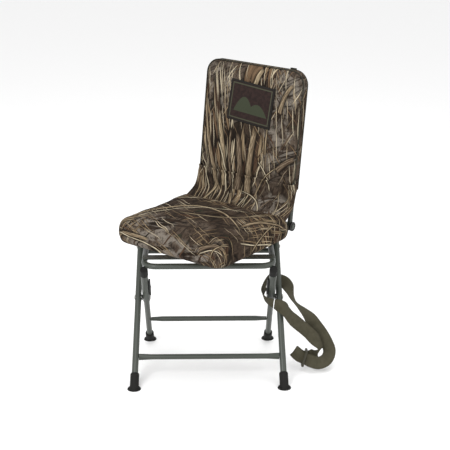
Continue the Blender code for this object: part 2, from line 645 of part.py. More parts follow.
def build_swivel():
    """Cross straps and lower plate on the frame; race, pin, upper plate and pan above."""
    z = FRAME_Z + FRAME_TUBE_R + GAP
    for tag, y in (("front", -STRAP_Y), ("rear", STRAP_Y)):
        strap = box_mesh("swivel_strap_" + tag, (2 * FRAME_X + 0.012, STRAP_WIDTH, STRAP_THICK), 0.004, 0, 2)
        place = TO_FRAME @ moved(0, y, z + STRAP_THICK / 2)
        add_object("swivel_strap_" + tag, strap, PAINT, frame_pivot, place)
    z += STRAP_THICK + GAP
    plate = box_mesh("swivel_lower_plate", (PLATE, PLATE, PLATE_THICK), 0.012, 0, 3)
    place = TO_FRAME @ moved(0, 0, z + PLATE_THICK / 2)
    plate = add_object("swivel_lower_plate", plate, ZINC, frame_pivot, place)
    hole = cylinder_mesh("lower_plate_bore", CENTRE_PIN_R + GAP, 0.02, 16)
    cut(plate, hole, TO_FRAME @ moved(0, 0, z - 0.01), "lower_plate_bore")
    pin_low = z
    z += PLATE_THICK + GAP
    bm = bmesh.new()
    bmesh.ops.create_circle(bm, segments=12, radius=RACE_TUBE_R)
    bmesh.ops.rotate(bm, verts=bm.verts, matrix=Matrix.Rotation(math.radians(90), 3, "X"))
    bmesh.ops.translate(bm, verts=bm.verts, vec=(RACE_R, 0, 0))
    loop = bm.verts[:] + bm.edges[:]
    bmesh.ops.spin(bm, geom=loop, axis=(0, 0, 1), cent=(0, 0, 0), angle=2 * math.pi, steps=40)
    bmesh.ops.remove_doubles(bm, verts=bm.verts, dist=1e-6)
    race = mesh_from(bm, "swivel_ball_race")
    add_object("swivel_ball_race", race, ZINC, frame_pivot, TO_FRAME @ moved(0, 0, z + RACE_TUBE_R))
    z += 2 * RACE_TUBE_R + GAP
    top_plate = box_mesh("swivel_upper_plate", (PLATE, PLATE, PLATE_THICK), 0.012, 0, 3)
    place = TO_SEAT @ moved(0, 0, z + PLATE_THICK / 2)
    top_plate = add_object("swivel_upper_plate", top_plate, ZINC, swivel, place)
    hole = cylinder_mesh("upper_plate_bore", CENTRE_PIN_R + GAP, 0.02, 16)
    cut(top_plate, hole, TO_SEAT @ moved(0, 0, z - 0.01), "upper_plate_bore")
    z += PLATE_THICK + GAP
    head = 0.0022
    profile = [
        (0, pin_low - GAP - head),
        (0.010, pin_low - GAP - head),
        (0.010, pin_low - GAP),
        (CENTRE_PIN_R, pin_low - GAP),
        (CENTRE_PIN_R, z),
        (0.009, z),
        (0.009, z + 0.0035),
        (0, z + 0.0035),
    ]
    pin = turned_mesh("swivel_centre_pin", profile, 20)
    add_object("swivel_centre_pin", pin, ZINC, frame_pivot, TO_FRAME)
    return z


def build_seat(pan_low):
    """The pan, and the cushion on it with its upper rear edge sloped clear of the folding backrest."""
    depth = PAN_BACK - PAN_FRONT
    middle = (PAN_BACK + PAN_FRONT) / 2
    pan = box_mesh("seat_pan", (2 * PAN_HALF_X, depth, PAN_THICK), 0.035, 0, 6)
    pan = add_object("seat_pan", pan, PLYWOOD, swivel, TO_SEAT @ moved(0, middle, pan_low + PAN_THICK / 2))
    recess = cylinder_mesh("pan_recess", 0.013, 0.006, 20)
    cut(pan, recess, TO_SEAT @ moved(0, 0, pan_low - 0.001), "pan_recess")
    low = pan_low + PAN_THICK + GAP
    size = (2 * CUSHION_HALF_X, CUSHION_BACK - CUSHION_FRONT, CUSHION_TOP - low)
    cushion = box_mesh("seat_cushion", size, CUSHION_CORNER, CUSHION_EDGE, 5, 3)
    place = moved(0, (CUSHION_BACK + CUSHION_FRONT) / 2, (CUSHION_TOP + low) / 2)
    cushion = add_object("seat_cushion", cushion, CAMO, swivel, TO_SEAT @ place)
    relief = box_mesh("cushion_relief", (0.5, 0.2, 0.1))
    slope = Matrix.Rotation(-CUSHION_SLOPE, 4, "X")
    relief_place = moved(0, CUSHION_BACK, CUSHION_BACK_TOP) @ slope @ moved(0, 0, 0.05)
    cut(cushion, relief, TO_SEAT @ relief_place, "cushion_relief")
    build_hinge_plates(pan_low)


def build_hinge_plates(pan_low):
    """A flat bar under the pan's rear edge, and plates at its ends that carry the backrest hinge."""
    bar_depth = 0.056
    bar_z = pan_low - GAP - HINGE_PLATE / 2
    bar = box_mesh("hinge_bar", (2 * HINGE_PLATE_X + HINGE_PLATE, bar_depth, HINGE_PLATE), 0.004, 0, 2)
    bar_y = PAN_BACK - 0.014 + bar_depth / 2
    add_object("hinge_bar", bar, PAINT, swivel, TO_SEAT @ moved(0, bar_y, bar_z))
    ring = [math.radians(a) for a in range(-30, 211, 30)]
    eye = [(HINGE_Y + 0.0110 * math.cos(a), HINGE_Z + 0.0110 * math.sin(a)) for a in ring]
    foot_line = [(0.1660, pan_low), (0.1780, pan_low), (0.1860, pan_low + 0.012)]
    outline = [*foot_line, *eye, (0.1660, pan_low + 0.022)]
    for side in (-1, 1):
        tag = side_name(side)
        plate = outline_mesh("hinge_plate_" + tag, outline, HINGE_PLATE)
        plate_x = side * HINGE_PLATE_X
        plate = add_object("hinge_plate_" + tag, plate, PAINT, swivel, TO_SEAT @ moved(plate_x, 0, 0))
        bore(plate, (plate_x, HINGE_Y, HINGE_Z), RIVET_R, TO_SEAT, "hinge_plate_bore_" + tag)
        start = HINGE_PLATE_X - HINGE_PLATE / 2 - GAP
        end = BACK_TUBE_X + BACK_TUBE_R + 2 * GAP + HINGE_DISC
        rivet("hinge_rivet_" + tag, start, end, HINGE_Y, HINGE_Z, swivel, TO_SEAT, side, RIVET_R, 0.0070)


def slab(name, half_x, front, back, low_z, high_z, spec, corner, edge):
    """An upright slab of the backrest, with rounded corners, between these limits in the backrest's frame."""
    shape = box_mesh(name, (2 * half_x, high_z - low_z, back - front), corner, edge, 5, 2)
    place = moved(0, (front + back) / 2, (low_z + high_z) / 2) @ UPRIGHT
    return add_object(name, shape, spec, hinge, place)


def build_backrest():
    """The tube, the hinge discs, and the pad, board, panel, lower cover and badge that the tube carries."""
    low = -0.012
    corners = [
        (-BACK_TUBE_X, 0, low),
        (-BACK_TUBE_X, 0, BACK_TUBE_TOP),
        (BACK_TUBE_X, 0, BACK_TUBE_TOP),
        (BACK_TUBE_X, 0, low),
    ]
    mesh = tube_mesh("back_frame", rounded_route(corners, BACK_BEND), BACK_TUBE_R, WALL)
    frame = add_object("back_frame", mesh, PAINT, hinge, IDENTITY)
    for side in (-1, 1):
        tag = side_name(side)
        bore(frame, (side * BACK_TUBE_X, 0, 0), RIVET_R, IDENTITY, "back_frame_bore_" + tag, 0.02)
        disc_low = BACK_TUBE_X + BACK_TUBE_R + GAP
        disc = cylinder_mesh("hinge_disc_" + tag, HINGE_DISC_R, HINGE_DISC, 28)
        place = sideways((disc_low if side > 0 else -disc_low - HINGE_DISC, 0, 0))
        disc = add_object("hinge_disc_" + tag, disc, BLACK_PLASTIC, hinge, place)
        bore(disc, (side * (disc_low + HINGE_DISC / 2), 0, 0), RIVET_R, IDENTITY, "disc_bore_" + tag, 0.02)
    slab("back_cushion", BACK_HALF_X, PAD_FRONT, PAD_BACK, BACK_LOW, BACK_HIGH, CAMO, BACK_CORNER, 0.006)
    inner = BACK_TUBE_X - BACK_TUBE_R - 0.002
    board_top = BACK_TUBE_TOP - BACK_TUBE_R - 0.002
    half = BOARD_THICK / 2
    slab("back_board", inner, -half, half, BACK_LOW + 0.012, board_top, BACKING, 0.035, 0)
    panel_low = BACK_LOW + 0.004
    slab("back_panel", BACK_HALF_X, PANEL_FRONT, PANEL_BACK, panel_low, BACK_HIGH, BACKING, BACK_CORNER, 0.002)
    front, back = PAD_FRONT + 0.002, PAD_FRONT + 0.012
    top = BACK_LOW - GAP
    slab("lower_back_cover", LOWER_COVER_HALF_X, front, back, LOWER_COVER_LOW, top, CAMO, 0.004, 0)
    badge = box_mesh("badge", (BADGE_WIDTH, BADGE_HEIGHT, BADGE_THICK), 0.004, 0, 2)
    place = moved(BADGE_X, PAD_FRONT - GAP - BADGE_THICK / 2, BADGE_Z) @ UPRIGHT
    tilt = Matrix.Rotation(BADGE_TILT, 4, "Z")
    add_object("badge", badge, BADGE, hinge, place @ tilt)


def smooth_route(points, steps):
    """Points on a smooth curve that passes through every given point, with this many steps between two."""
    points = [Vector(p) for p in points]
    ends = [2 * points[0] - points[1], *points, 2 * points[-1] - points[-2]]
    route = []
    for a, b, c, d in zip(ends, ends[1:], ends[2:], ends[3:]):
        for k in range(steps):
            t = k / steps
            bend = (2 * a - 5 * b + 4 * c - d) * t**2 + (3 * b - a - 3 * c + d) * t**3
            route.append(0.5 * (2 * b + (c - a) * t + bend))
    route.append(points[-1])
    return route


def webbing_mesh(name, route, half_width, thickness, steps):
    """A flat strap along the route, lofted so that its width follows each point's own direction."""
    middles = smooth_route([middle for middle, across in route], steps)
    acrosses = smooth_route([Vector(across).normalized() for middle, across in route], steps)
    bm = bmesh.new()
    rings = []
    for k, middle in enumerate(middles):
        ahead = (middles[min(k + 1, len(middles) - 1)] - middles[max(k - 1, 0)]).normalized()
        across = (acrosses[k] - ahead * acrosses[k].dot(ahead)).normalized()
        out = ahead.cross(across) * (thickness / 2)
        corners = [(-1, -1), (1, -1), (1, 1), (-1, 1)]
        rings.append([bm.verts.new(middle + across * half_width * a + out * b) for a, b in corners])
    for low, high in zip(rings, rings[1:]):
        for k in range(4):
            nxt = (k + 1) % 4
            bm.faces.new((low[k], low[nxt], high[nxt], high[k]))
    bm.faces.new(rings[0])
    bm.faces.new(rings[-1])
    return mesh_from(bm, name)


def build_strap():
    """The webbing loop and the slider that both of its runs pass through."""
    mesh = webbing_mesh("carry_strap", WEBBING_ROUTE, WEBBING_HALF, WEBBING_THICK, 4)
    add_object("carry_strap", mesh, WEBBING, origin, IDENTITY)
    place = Matrix.Translation(SLIDER_AT) @ Matrix.Rotation(SLIDER_TILT, 4, "Y")
    ring = box_mesh("strap_slider", SLIDER_SIZE, 0.002, 0, 2)
    ring = add_object("strap_slider", ring, BLACK_PLASTIC, origin, place)
    opening = box_mesh("slider_opening", SLIDER_OPENING)
    cut(ring, opening, place, "slider_opening")


build_front_legs()
build_rear_legs()
build_seat_frame()
pan_low = build_swivel()
build_seat(pan_low)
build_backrest()
build_strap()
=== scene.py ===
"""The look of the folding swivel hunting chair: printed padded covers, webbing, painted tube and rubber.

Metres, +Z up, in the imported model's own frame. "Seat frame" below means X to the sitter's right, Y to the
back, on the swivel's axis. "Back frame" means the same on the backrest hinge, with Z up along the recline.
"""

import json
import math

import bmesh
import bpy
from mathutils import Matrix, Vector, noise
from mathutils.bvhtree import BVHTree


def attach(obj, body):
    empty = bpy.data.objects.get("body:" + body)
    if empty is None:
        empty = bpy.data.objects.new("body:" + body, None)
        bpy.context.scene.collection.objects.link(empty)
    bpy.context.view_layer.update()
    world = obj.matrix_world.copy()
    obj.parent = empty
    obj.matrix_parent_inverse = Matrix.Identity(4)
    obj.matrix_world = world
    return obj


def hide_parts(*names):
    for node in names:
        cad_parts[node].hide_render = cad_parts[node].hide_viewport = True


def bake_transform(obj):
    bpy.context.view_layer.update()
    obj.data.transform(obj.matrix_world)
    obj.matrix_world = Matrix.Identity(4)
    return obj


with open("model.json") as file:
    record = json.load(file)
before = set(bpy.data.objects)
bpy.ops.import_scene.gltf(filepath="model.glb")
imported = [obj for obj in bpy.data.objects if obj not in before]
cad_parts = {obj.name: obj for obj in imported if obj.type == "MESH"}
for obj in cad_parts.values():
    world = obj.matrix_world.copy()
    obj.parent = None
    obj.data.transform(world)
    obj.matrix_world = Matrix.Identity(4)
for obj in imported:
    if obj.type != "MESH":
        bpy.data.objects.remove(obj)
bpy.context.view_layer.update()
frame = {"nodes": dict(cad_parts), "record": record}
joints = {joint["name"]: joint for joint in frame["record"]["behaviour"]["joints"]}

# Where the seat and the backrest stand, from the joints that carry them.
SWIVEL = Vector(joints["seat_swivel"]["pos_m"])
HINGE = Vector(joints["backrest_fold"]["pos_m"])
HINGE_AXIS = Vector(joints["backrest_fold"]["axis"])
SEAT_TURN = math.atan2(HINGE_AXIS.y, HINGE_AXIS.x)
RECLINE = math.radians(-7.5)
SEAT = Matrix.Translation((SWIVEL.x, SWIVEL.y, 0)) @ Matrix.Rotation(SEAT_TURN, 4, "Z")
BACK = Matrix.Translation(HINGE) @ Matrix.Rotation(SEAT_TURN, 4, "Z") @ Matrix.Rotation(RECLINE, 4, "X")
QUARTER_TURN = Matrix.Rotation(math.radians(90), 4, "X")

# Seat cushion, in the seat frame.
SEAT_HALF_X = 0.2010
SEAT_FRONT = -0.2010
SEAT_BACK = 0.1560
SEAT_LOW = 0.4125
SEAT_TOP = 0.4810
SEAT_CORNER = 0.046
SEAT_EDGE = 0.027
SEAT_CROWN = 0.007

# The plywood pan under the cushion reaches to here, and the rim of the cover drops round it.
PAN_HALF_X = 0.160
PAN_FRONT = -0.161
PAN_BACK = 0.146
RIM_DROP = 0.007
RIM_RUN = 0.018

# The cushion's top rear edge is cut back along this slope, which leaves room for the folding backrest.
RELIEF_Y = 0.162
RELIEF_Z = 0.428
RELIEF_SLOPE = math.tan(math.radians(48))

# Backrest cover, in the back frame.
BACK_HALF_X = 0.1760
BACK_LOW = 0.110
BACK_HIGH = 0.4580
BACK_FRONT = -0.0230
BACK_SPLIT = 0.0075
BACK_REAR = 0.0130
BACK_CORNER = 0.042
BACK_MIDDLE_Z = 0.283
BACK_HALF_Z = 0.175
UPRIGHT = BACK @ QUARTER_TURN
BACK_WARD = BACK.to_3x3() @ Vector((0, 1, 0))

# A folded tab sewn into the backrest's top seam, near its right corner.
TAB = BACK @ Matrix.Translation((0.128, 0.001, BACK_HIGH + 0.003)) @ QUARTER_TURN

# The sewn patch, in the back frame.
BADGE_HALF_X = 0.080
BADGE_HALF_Z = 0.061
BADGE_PLACE = Vector((0.006, BACK_FRONT - 0.0042, 0.344))
BADGE_TILT = math.radians(4.5)

# The lower back cover's middle line from its top seam down to its foot, as (y, z) in the seat frame.
COVER_LINE = [(0.1695, 0.560), (0.1665, 0.520), (0.158, 0.495), (0.118, 0.470)]
COVER_HALF_TOP = 0.1775
COVER_FLARE = 0.012

# Webbing, on the same route as the CAD strap: its middle, then the direction across its width. The shift
# moves the whole loop.
WEBBING_HALF = 0.019
WEBBING_THICK = 0.0018
WEBBING_SHIFT = Vector((-0.0108, -0.0165, 0))
WEBBING_ROUTE = [
    ((0.1947, -0.0415, 0.2112), (0.00, -0.30, 0.90)),
    ((0.2076, -0.0460, 0.2085), (0.10, 0.10, 0.95)),
    ((0.2198, -0.0500, 0.2030), (0.30, 0.40, 0.80)),
    ((0.2310, -0.0500, 0.1890), (0.45, 0.70, 0.45)),
    ((0.2443, -0.0460, 0.1701), (0.50, 0.60, 0.50)),
    ((0.2597, -0.0430, 0.1537), (0.60, 0.30, 0.65)),
    ((0.2830, -0.0390, 0.1312), (0.66, 0.10, 0.76)),
    ((0.3045, -0.0420, 0.1118), (0.70, 0.10, 0.67)),
    ((0.3236, -0.0460, 0.0887), (0.70, 0.60, 0.15)),
    ((0.3349, -0.0510, 0.0703), (0.48, 0.82, -0.30)),
    ((0.3256, -0.0480, 0.0523), (0.25, 0.85, 0.30)),
    ((0.3066, -0.0515, 0.0450), (0.28, 0.12, 0.93)),
    ((0.2872, -0.0500, 0.0410), (0.22, 0.00, 0.97)),
    ((0.2715, -0.0490, 0.0480), (0.40, 0.00, 0.90)),
    ((0.2554, -0.0515, 0.0626), (0.50, 0.00, 0.86)),
    ((0.2710, -0.0570, 0.0478), (0.40, 0.00, 0.90)),
    ((0.2866, -0.0585, 0.0405), (0.22, 0.00, 0.97)),
    ((0.3075, -0.0730, 0.0368), (0.30, 0.30, 0.90)),
    ((0.3311, -0.0760, 0.0334), (0.00, 0.34, 0.94)),
    ((0.3538, -0.0600, 0.0384), (-0.62, 0.35, 0.60)),
    ((0.3643, -0.0340, 0.0522), (-0.95, 0.20, 0.10)),
    ((0.3569, -0.0220, 0.0744), (-0.95, 0.10, -0.33)),
    ((0.3400, -0.0130, 0.1036), (-0.86, 0.00, -0.53)),
    ((0.3183, -0.0070, 0.1329), (-0.80, 0.00, -0.64)),
    ((0.2924, -0.0060, 0.1643), (-0.49, -0.75, -0.15)),
    ((0.2646, 0.0000, 0.1920), (-0.20, -0.97, 0.20)),
    ((0.2505, 0.0080, 0.2120), (-0.25, -0.95, 0.00)),
    ((0.2430, 0.0200, 0.2280), (-0.30, -0.80, -0.30)),
    ((0.2360, 0.0350, 0.2415), (-0.25, -0.68, -0.65)),
    ((0.2220, 0.0460, 0.2500), (-0.10, -0.63, -0.75)),
    ((0.2030, 0.0470, 0.2530), (0.00, -0.62, -0.79)),
    ((0.1890, 0.0420, 0.2540), (0.05, -0.35, -0.90)),
    ((0.1765, 0.0280, 0.2500), (0.15, 0.10, -0.98)),
    ((0.1664, 0.0100, 0.2424), (0.20, 0.40, -0.88)),
    ((0.1614, -0.0030, 0.2322), (0.24, 0.52, -0.81)),
    ((0.1641, -0.0170, 0.2240), (0.20, 0.54, -0.81)),
    ((0.1748, -0.0300, 0.2171), (0.10, 0.55, -0.82)),
    ((0.1920, -0.0405, 0.2120), (0.00, 0.35, -0.90)),
]


# ---------------------------------------------------------------- camera, floor and lights


def link(name, data):
    obj = bpy.data.objects.new(name, data)
    bpy.context.scene.collection.objects.link(obj)
    return obj


def build_stage():
    camera = bpy.data.cameras.new("camera")
    camera.lens = 96.0
    camera.sensor_width = 36.0
    holder = link("camera", camera)
    holder.location = (-0.0153, -3.3385, 1.634)
    holder.rotation_euler = (math.radians(70.34), 0, math.radians(-0.916))
    bpy.context.scene.camera = holder

    bm = bmesh.new()
    bmesh.ops.create_grid(bm, x_segments=1, y_segments=1, size=30)
    mesh = bpy.data.meshes.new("floor")
    bm.to_mesh(mesh)
    bm.free()
    floor = link("floor", mesh)
    pale = bpy.data.materials.new("pale_floor")
    pale.use_nodes = True
    shader = pale.node_tree.nodes["Principled BSDF"]
    shader.inputs["Base Color"].default_value = (0.93, 0.93, 0.93, 1)
    shader.inputs["Roughness"].default_value = 0.9
    shader.inputs["Specular IOR Level"].default_value = 0.1
    mesh.materials.append(pale)

    world = bpy.data.worlds.new("studio")
    world.use_nodes = True
    world.node_tree.nodes["Background"].inputs["Color"].default_value = (1, 1, 1, 1)
    world.node_tree.nodes["Background"].inputs["Strength"].default_value = 0.96
    bpy.context.scene.world = world
    bpy.context.scene.view_settings.view_transform = "Standard"
    target = Vector((0, 0, 0.45))
    lamps = [
        ("key", (-1.3, -2.4, 2.0), 1.4, 56),
        ("fill", (2.2, -1.6, 1.5), 1.8, 16),
        ("top", (0.2, 0.4, 2.8), 1.6, 26),
    ]
    for name, place, size, power in lamps:
        lamp = bpy.data.lights.new(name, "AREA")
        lamp.size = size
        lamp.energy = power
        light = link(name, lamp)
        light.location = place
        light.rotation_euler = (target - Vector(place)).to_track_quat("-Z", "Y").to_euler()


# ---------------------------------------------------------------- material helpers


class Nodes:
    """Short calls that add linked nodes to one material."""

    def __init__(self, name, colour=(0.5, 0.5, 0.5), roughness=0.5, **sockets):
        self.material = bpy.data.materials.new(name)
        self.material.use_nodes = True
        self.tree = self.material.node_tree
        self.shader = self.tree.nodes["Principled BSDF"]
        self.shader.inputs["Base Color"].default_value = (*colour, 1)
        self.shader.inputs["Roughness"].default_value = roughness
        for socket, value in sockets.items():
            self.shader.inputs[socket.replace("_", " ")].default_value = value

    def put(self, socket, value):
        if isinstance(value, bpy.types.NodeSocket):
            self.tree.links.new(value, socket)
        elif hasattr(value, "__len__") and len(value) == 3 and socket.type == "RGBA":
            socket.default_value = (*value, 1)
        else:
            socket.default_value = value

    def add(self, kind, **settings):
        made = self.tree.nodes.new("ShaderNode" + kind)
        for key, value in settings.items():
            setattr(made, key, value)
        return made

    def math(self, operation, a, b=None, c=None, clamp=False):
        made = self.add("Math", operation=operation, use_clamp=clamp)
        for socket, value in zip(made.inputs, (a, b, c)):
            if value is not None:
                self.put(socket, value)
        return made.outputs[0]

    def combine(self, x, y, z=0.0):
        made = self.add("CombineXYZ")
        for socket, value in zip(made.inputs, (x, y, z)):
            self.put(socket, value)
        return made.outputs[0]

    def separate(self, vector):
        made = self.add("SeparateXYZ")
        self.put(made.inputs[0], vector)
        return made.outputs

    def noise(self, vector, scale, detail=3.0, roughness=0.55, distortion=0.0):
        made = self.add("TexNoise")
        self.put(made.inputs["Vector"], vector)
        made.inputs["Scale"].default_value = scale
        made.inputs["Detail"].default_value = detail
        made.inputs["Roughness"].default_value = roughness
        made.inputs["Distortion"].default_value = distortion
        return made.outputs["Fac"]

    def ramp(self, value, *stops):
        made = self.add("ValToRGB")
        elements = made.color_ramp.elements
        while len(elements) < len(stops):
            elements.new(0.5)
        for element, (place, colour) in zip(elements, stops):
            element.position = place
            element.color = (*colour, 1)
        self.put(made.inputs[0], value)
        return made.outputs[0]

    def step(self, value, low, high):
        """0 below low, 1 above high, smooth between; low may be above high to turn it over."""
        made = self.add("MapRange", interpolation_type="SMOOTHSTEP")
        self.put(made.inputs["Value"], value)
        made.inputs["From Min"].default_value = min(low, high)
        made.inputs["From Max"].default_value = max(low, high)
        made.inputs["To Min"].default_value = 0.0 if low < high else 1.0
        made.inputs["To Max"].default_value = 1.0 if low < high else 0.0
        return made.outputs[0]

    def mix(self, factor, a, b, blend="MIX"):
        made = self.add("Mix", data_type="RGBA", blend_type=blend)
        self.put(made.inputs[0], factor)
        self.put(made.inputs[6], a)
        self.put(made.inputs[7], b)
        return made.outputs[2]

    def bump(self, height, strength, distance):
        made = self.add("Bump")
        made.inputs["Strength"].default_value = strength
        made.inputs["Distance"].default_value = distance
        self.put(made.inputs["Height"], height)
        self.tree.links.new(made.outputs[0], self.shader.inputs["Normal"])

    def colour(self, value):
        self.put(self.shader.inputs["Base Color"], value)

    def rough(self, value):
        self.put(self.shader.inputs["Roughness"], value)

    def place(self):
        return self.add("TexCoord").outputs["Object"]


# The colours of the printed cloth.
TAN = (0.225, 0.155, 0.090)
PALE = (0.680, 0.580, 0.410)
STRAW = (0.350, 0.260, 0.155)
RUST = (0.090, 0.048, 0.028)
BARK = (0.008, 0.0062, 0.0048)
MUD = (0.046, 0.032, 0.023)
STONE = (0.195, 0.170, 0.142)
LEAF = (0.020, 0.028, 0.016)


def zone_mask(g, x, y, zones):
    """1 inside any of these soft ellipses, given as (x, y, half width, half height), and 0 outside."""
    total = 0.0
    for middle_x, middle_y, half_x, half_y in zones:
        dx = g.math("DIVIDE", g.math("SUBTRACT", x, middle_x), half_x)
        dy = g.math("DIVIDE", g.math("SUBTRACT", y, middle_y), half_y)
        reach = g.math("ADD", g.math("MULTIPLY", dx, dx), g.math("MULTIPLY", dy, dy))
        total = g.math("MAXIMUM", total, g.step(reach, 1.3, 0.5))
    return total


def blades(g, x, y, layer, mask, colour):
    """Lays a layer of long thin leaves over colour: stretched Voronoi cells, each with its own tint."""
    angle, width, length, bend, seed, share, colours = layer
    c, s = math.cos(math.radians(angle)), math.sin(math.radians(angle))
    across = g.math("SUBTRACT", g.math("MULTIPLY", x, c), g.math("MULTIPLY", y, s))
    along = g.math("ADD", g.math("MULTIPLY", x, s), g.math("MULTIPLY", y, c))
    stretched = g.combine(g.math("MULTIPLY", across, 4.0), g.math("MULTIPLY", along, 9.0), seed)
    drift = g.noise(stretched, 1.0, 1.0)
    across = g.math("MULTIPLY_ADD", g.math("SUBTRACT", drift, 0.5), bend, across)
    cells = g.add("TexVoronoi", voronoi_dimensions="2D", feature="F1")
    u = g.math("MULTIPLY_ADD", across, 1 / width, seed * 7.31)
    v = g.math("MULTIPLY_ADD", along, 1 / length, seed * 3.17)
    g.put(cells.inputs["Vector"], g.combine(u, v))
    cells.inputs["Scale"].default_value = 1.0
    distance = cells.outputs["Distance"]
    tints = g.add("SeparateColor")
    g.put(tints.inputs[0], cells.outputs["Color"])
    chosen = g.math("MULTIPLY", g.step(tints.outputs[0], 1 - share, 1 - share + 0.02), mask)
    body = g.math("MULTIPLY", g.step(distance, 0.34, 0.28), chosen)
    rim = g.math("MULTIPLY", g.step(distance, 0.56, 0.34), chosen)
    stops = [(k / max(1, len(colours) - 1), tint) for k, tint in enumerate(colours)]
    tint = g.ramp(tints.outputs[1], *stops)
    fibres = g.combine(g.math("MULTIPLY", across, 700.0), g.math("MULTIPLY", along, 30.0), seed)
    grain = g.noise(fibres, 1.0, 2.0)
    shade = g.math("MULTIPLY", g.step(distance, 0.36, 0.06), g.step(grain, 0.34, 0.60))
    tint = g.mix(g.math("MULTIPLY_ADD", shade, 0.72, 0.28), g.mix(0.6, tint, BARK), tint)
    shadowed = g.mix(g.math("MULTIPLY", rim, 0.85), colour, BARK)
    return g.mix(body, shadowed, tint)


def stalk(g, x, y, start, end, sag, width, tint, colour):
    """Lays one long curved stalk from start to end over colour; sag is how far its middle bows sideways."""
    start, end = Vector(start), Vector(end)
    run = end - start
    length = run.length
    run.normalize()
    dx = g.math("SUBTRACT", x, start.x)
    dy = g.math("SUBTRACT", y, start.y)
    along = g.math("ADD", g.math("MULTIPLY", dx, run.x), g.math("MULTIPLY", dy, run.y))
    across = g.math("SUBTRACT", g.math("MULTIPLY", dy, run.x), g.math("MULTIPLY", dx, run.y))
    share = g.math("DIVIDE", along, length)
    bow = g.math("MULTIPLY", g.math("MULTIPLY", share, g.math("SUBTRACT", 1.0, share)), 4 * sag)
    signed = g.math("SUBTRACT", across, bow)
    off = g.math("ABSOLUTE", signed)
    taper = g.math("MULTIPLY_ADD", share, -0.35, 1.15)
    off = g.math("DIVIDE", off, taper)
    inside = g.math("MULTIPLY", g.step(share, -0.01, 0.03), g.step(share, 1.01, 0.88))
    core = g.math("MULTIPLY", g.step(off, width * 0.56, width * 0.40), inside)
    edge = g.math("MULTIPLY", g.step(off, width * 1.0 + 0.003, width * 0.5), inside)
    shadowed = g.mix(g.math("MULTIPLY", edge, 0.85), colour, BARK)
    fibres = g.combine(g.math("MULTIPLY", signed, 320.0), g.math("MULTIPLY", along, 32.0), sag)
    grain = g.noise(fibres, 1.0, 3.0)
    lit = g.math("MULTIPLY", g.step(grain, 0.42, 0.60), g.step(signed, -width * 0.5, width * 0.1))
    body = g.mix(g.math("MULTIPLY_ADD", lit, 0.85, 0.15), g.mix(0.75, tint, BARK), g.mix(0.25, tint, PALE))
    return g.mix(core, shadowed, body)


def weave_height(g, x, y, pitch=0.0011):
    """A plain weave: threads over and under on a grid of this pitch."""
    u = g.math("SINE", g.math("MULTIPLY", x, math.pi / pitch))
    v = g.math("SINE", g.math("MULTIPLY", y, math.pi / pitch))
    return g.math("MULTIPLY", u, v)


def camouflage(name, layers, stalks, clouds, fan):
    """Printed woven cloth. x and y are the cloth's own coordinates in metres, from its print map.

    fan gives the point that the fanned layers grow from, and how far out their leaves keep their width.
    """
    g = Nodes(name, roughness=0.9, Specular_IOR_Level=0.05)
    x, y, _ = g.separate(g.add("UVMap", uv_map="print").outputs[0])

    # The ground: broad mud tones, dark bark, pale clouds with veins through them, and a little green.
    broad = g.noise(g.combine(x, y, 3.1), 9.0, 3.0, 0.55, 0.6)
    colour = g.ramp(broad, (0.30, (0.016, 0.012, 0.009)), (0.48, MUD), (0.68, (0.105, 0.082, 0.063)))
    bark = g.noise(g.combine(g.math("MULTIPLY", x, 5.0), y, 8.3), 22.0, 4.0, 0.65, 0.4)
    colour = g.mix(g.math("MULTIPLY", g.step(bark, 0.50, 0.62), 0.7), colour, BARK)
    mist = g.noise(g.combine(x, y, 6.6), 34.0, 4.0, 0.6, 0.8)
    foggy = g.math("MULTIPLY", zone_mask(g, x, y, clouds), g.step(mist, 0.42, 0.60))
    colour = g.mix(g.math("MULTIPLY", foggy, 0.75), colour, STONE)
    veins = g.noise(g.combine(x, y, 14.0), 75.0, 3.0, 0.6, 1.2)
    colour = g.mix(g.math("MULTIPLY", g.step(veins, 0.54, 0.64), 0.6), colour, BARK)
    leafy = g.noise(g.combine(x, y, 21.0), 19.0, 2.0)
    colour = g.mix(g.math("MULTIPLY", g.step(leafy, 0.62, 0.72), 0.6), colour, LEAF)

    # The leaves and stalks that lie over it.
    low_point, reach = fan
    dx = g.math("SUBTRACT", x, low_point[0])
    dy = g.math("SUBTRACT", y, low_point[1])
    turned = g.math("MULTIPLY", g.math("ARCTAN2", dx, dy), reach)
    outward = g.math("SQRT", g.math("ADD", g.math("MULTIPLY", dx, dx), g.math("MULTIPLY", dy, dy)))
    grown = zone_mask(g, x, y, next(zones for fanned, zones, layer in layers if zones))
    for fanned, zones, layer in layers:
        mask = grown if zones else 1.0
        colour = blades(g, turned if fanned else x, outward if fanned else y, layer, mask, colour)
    for start, end, sag, width, tint in stalks:
        colour = stalk(g, x, y, start, end, sag, width, tint, colour)
    speckle = g.noise(g.combine(x, y, 5.0), 420.0, 2.0)
    colour = g.mix(g.math("MULTIPLY", g.step(speckle, 0.35, 0.75), 0.22), colour, BARK)
    g.colour(colour)
    g.bump(weave_height(g, x, y), 0.35, 0.0004)
    return g.material


# ---------------------------------------------------------------- the materials


def painted_steel():
    g = Nodes("painted_steel", (0.055, 0.064, 0.050), 0.45, Specular_IOR_Level=0.4)
    place = g.place()
    patches = g.noise(place, 14.0, 3.0)
    g.colour(g.mix(g.math("MULTIPLY", patches, 0.5), (0.044, 0.050, 0.041), (0.030, 0.035, 0.028)))
    g.rough(g.math("MULTIPLY_ADD", patches, 0.14, 0.30))
    g.bump(g.noise(place, 900.0, 2.0), 0.10, 0.0006)
    return g.material


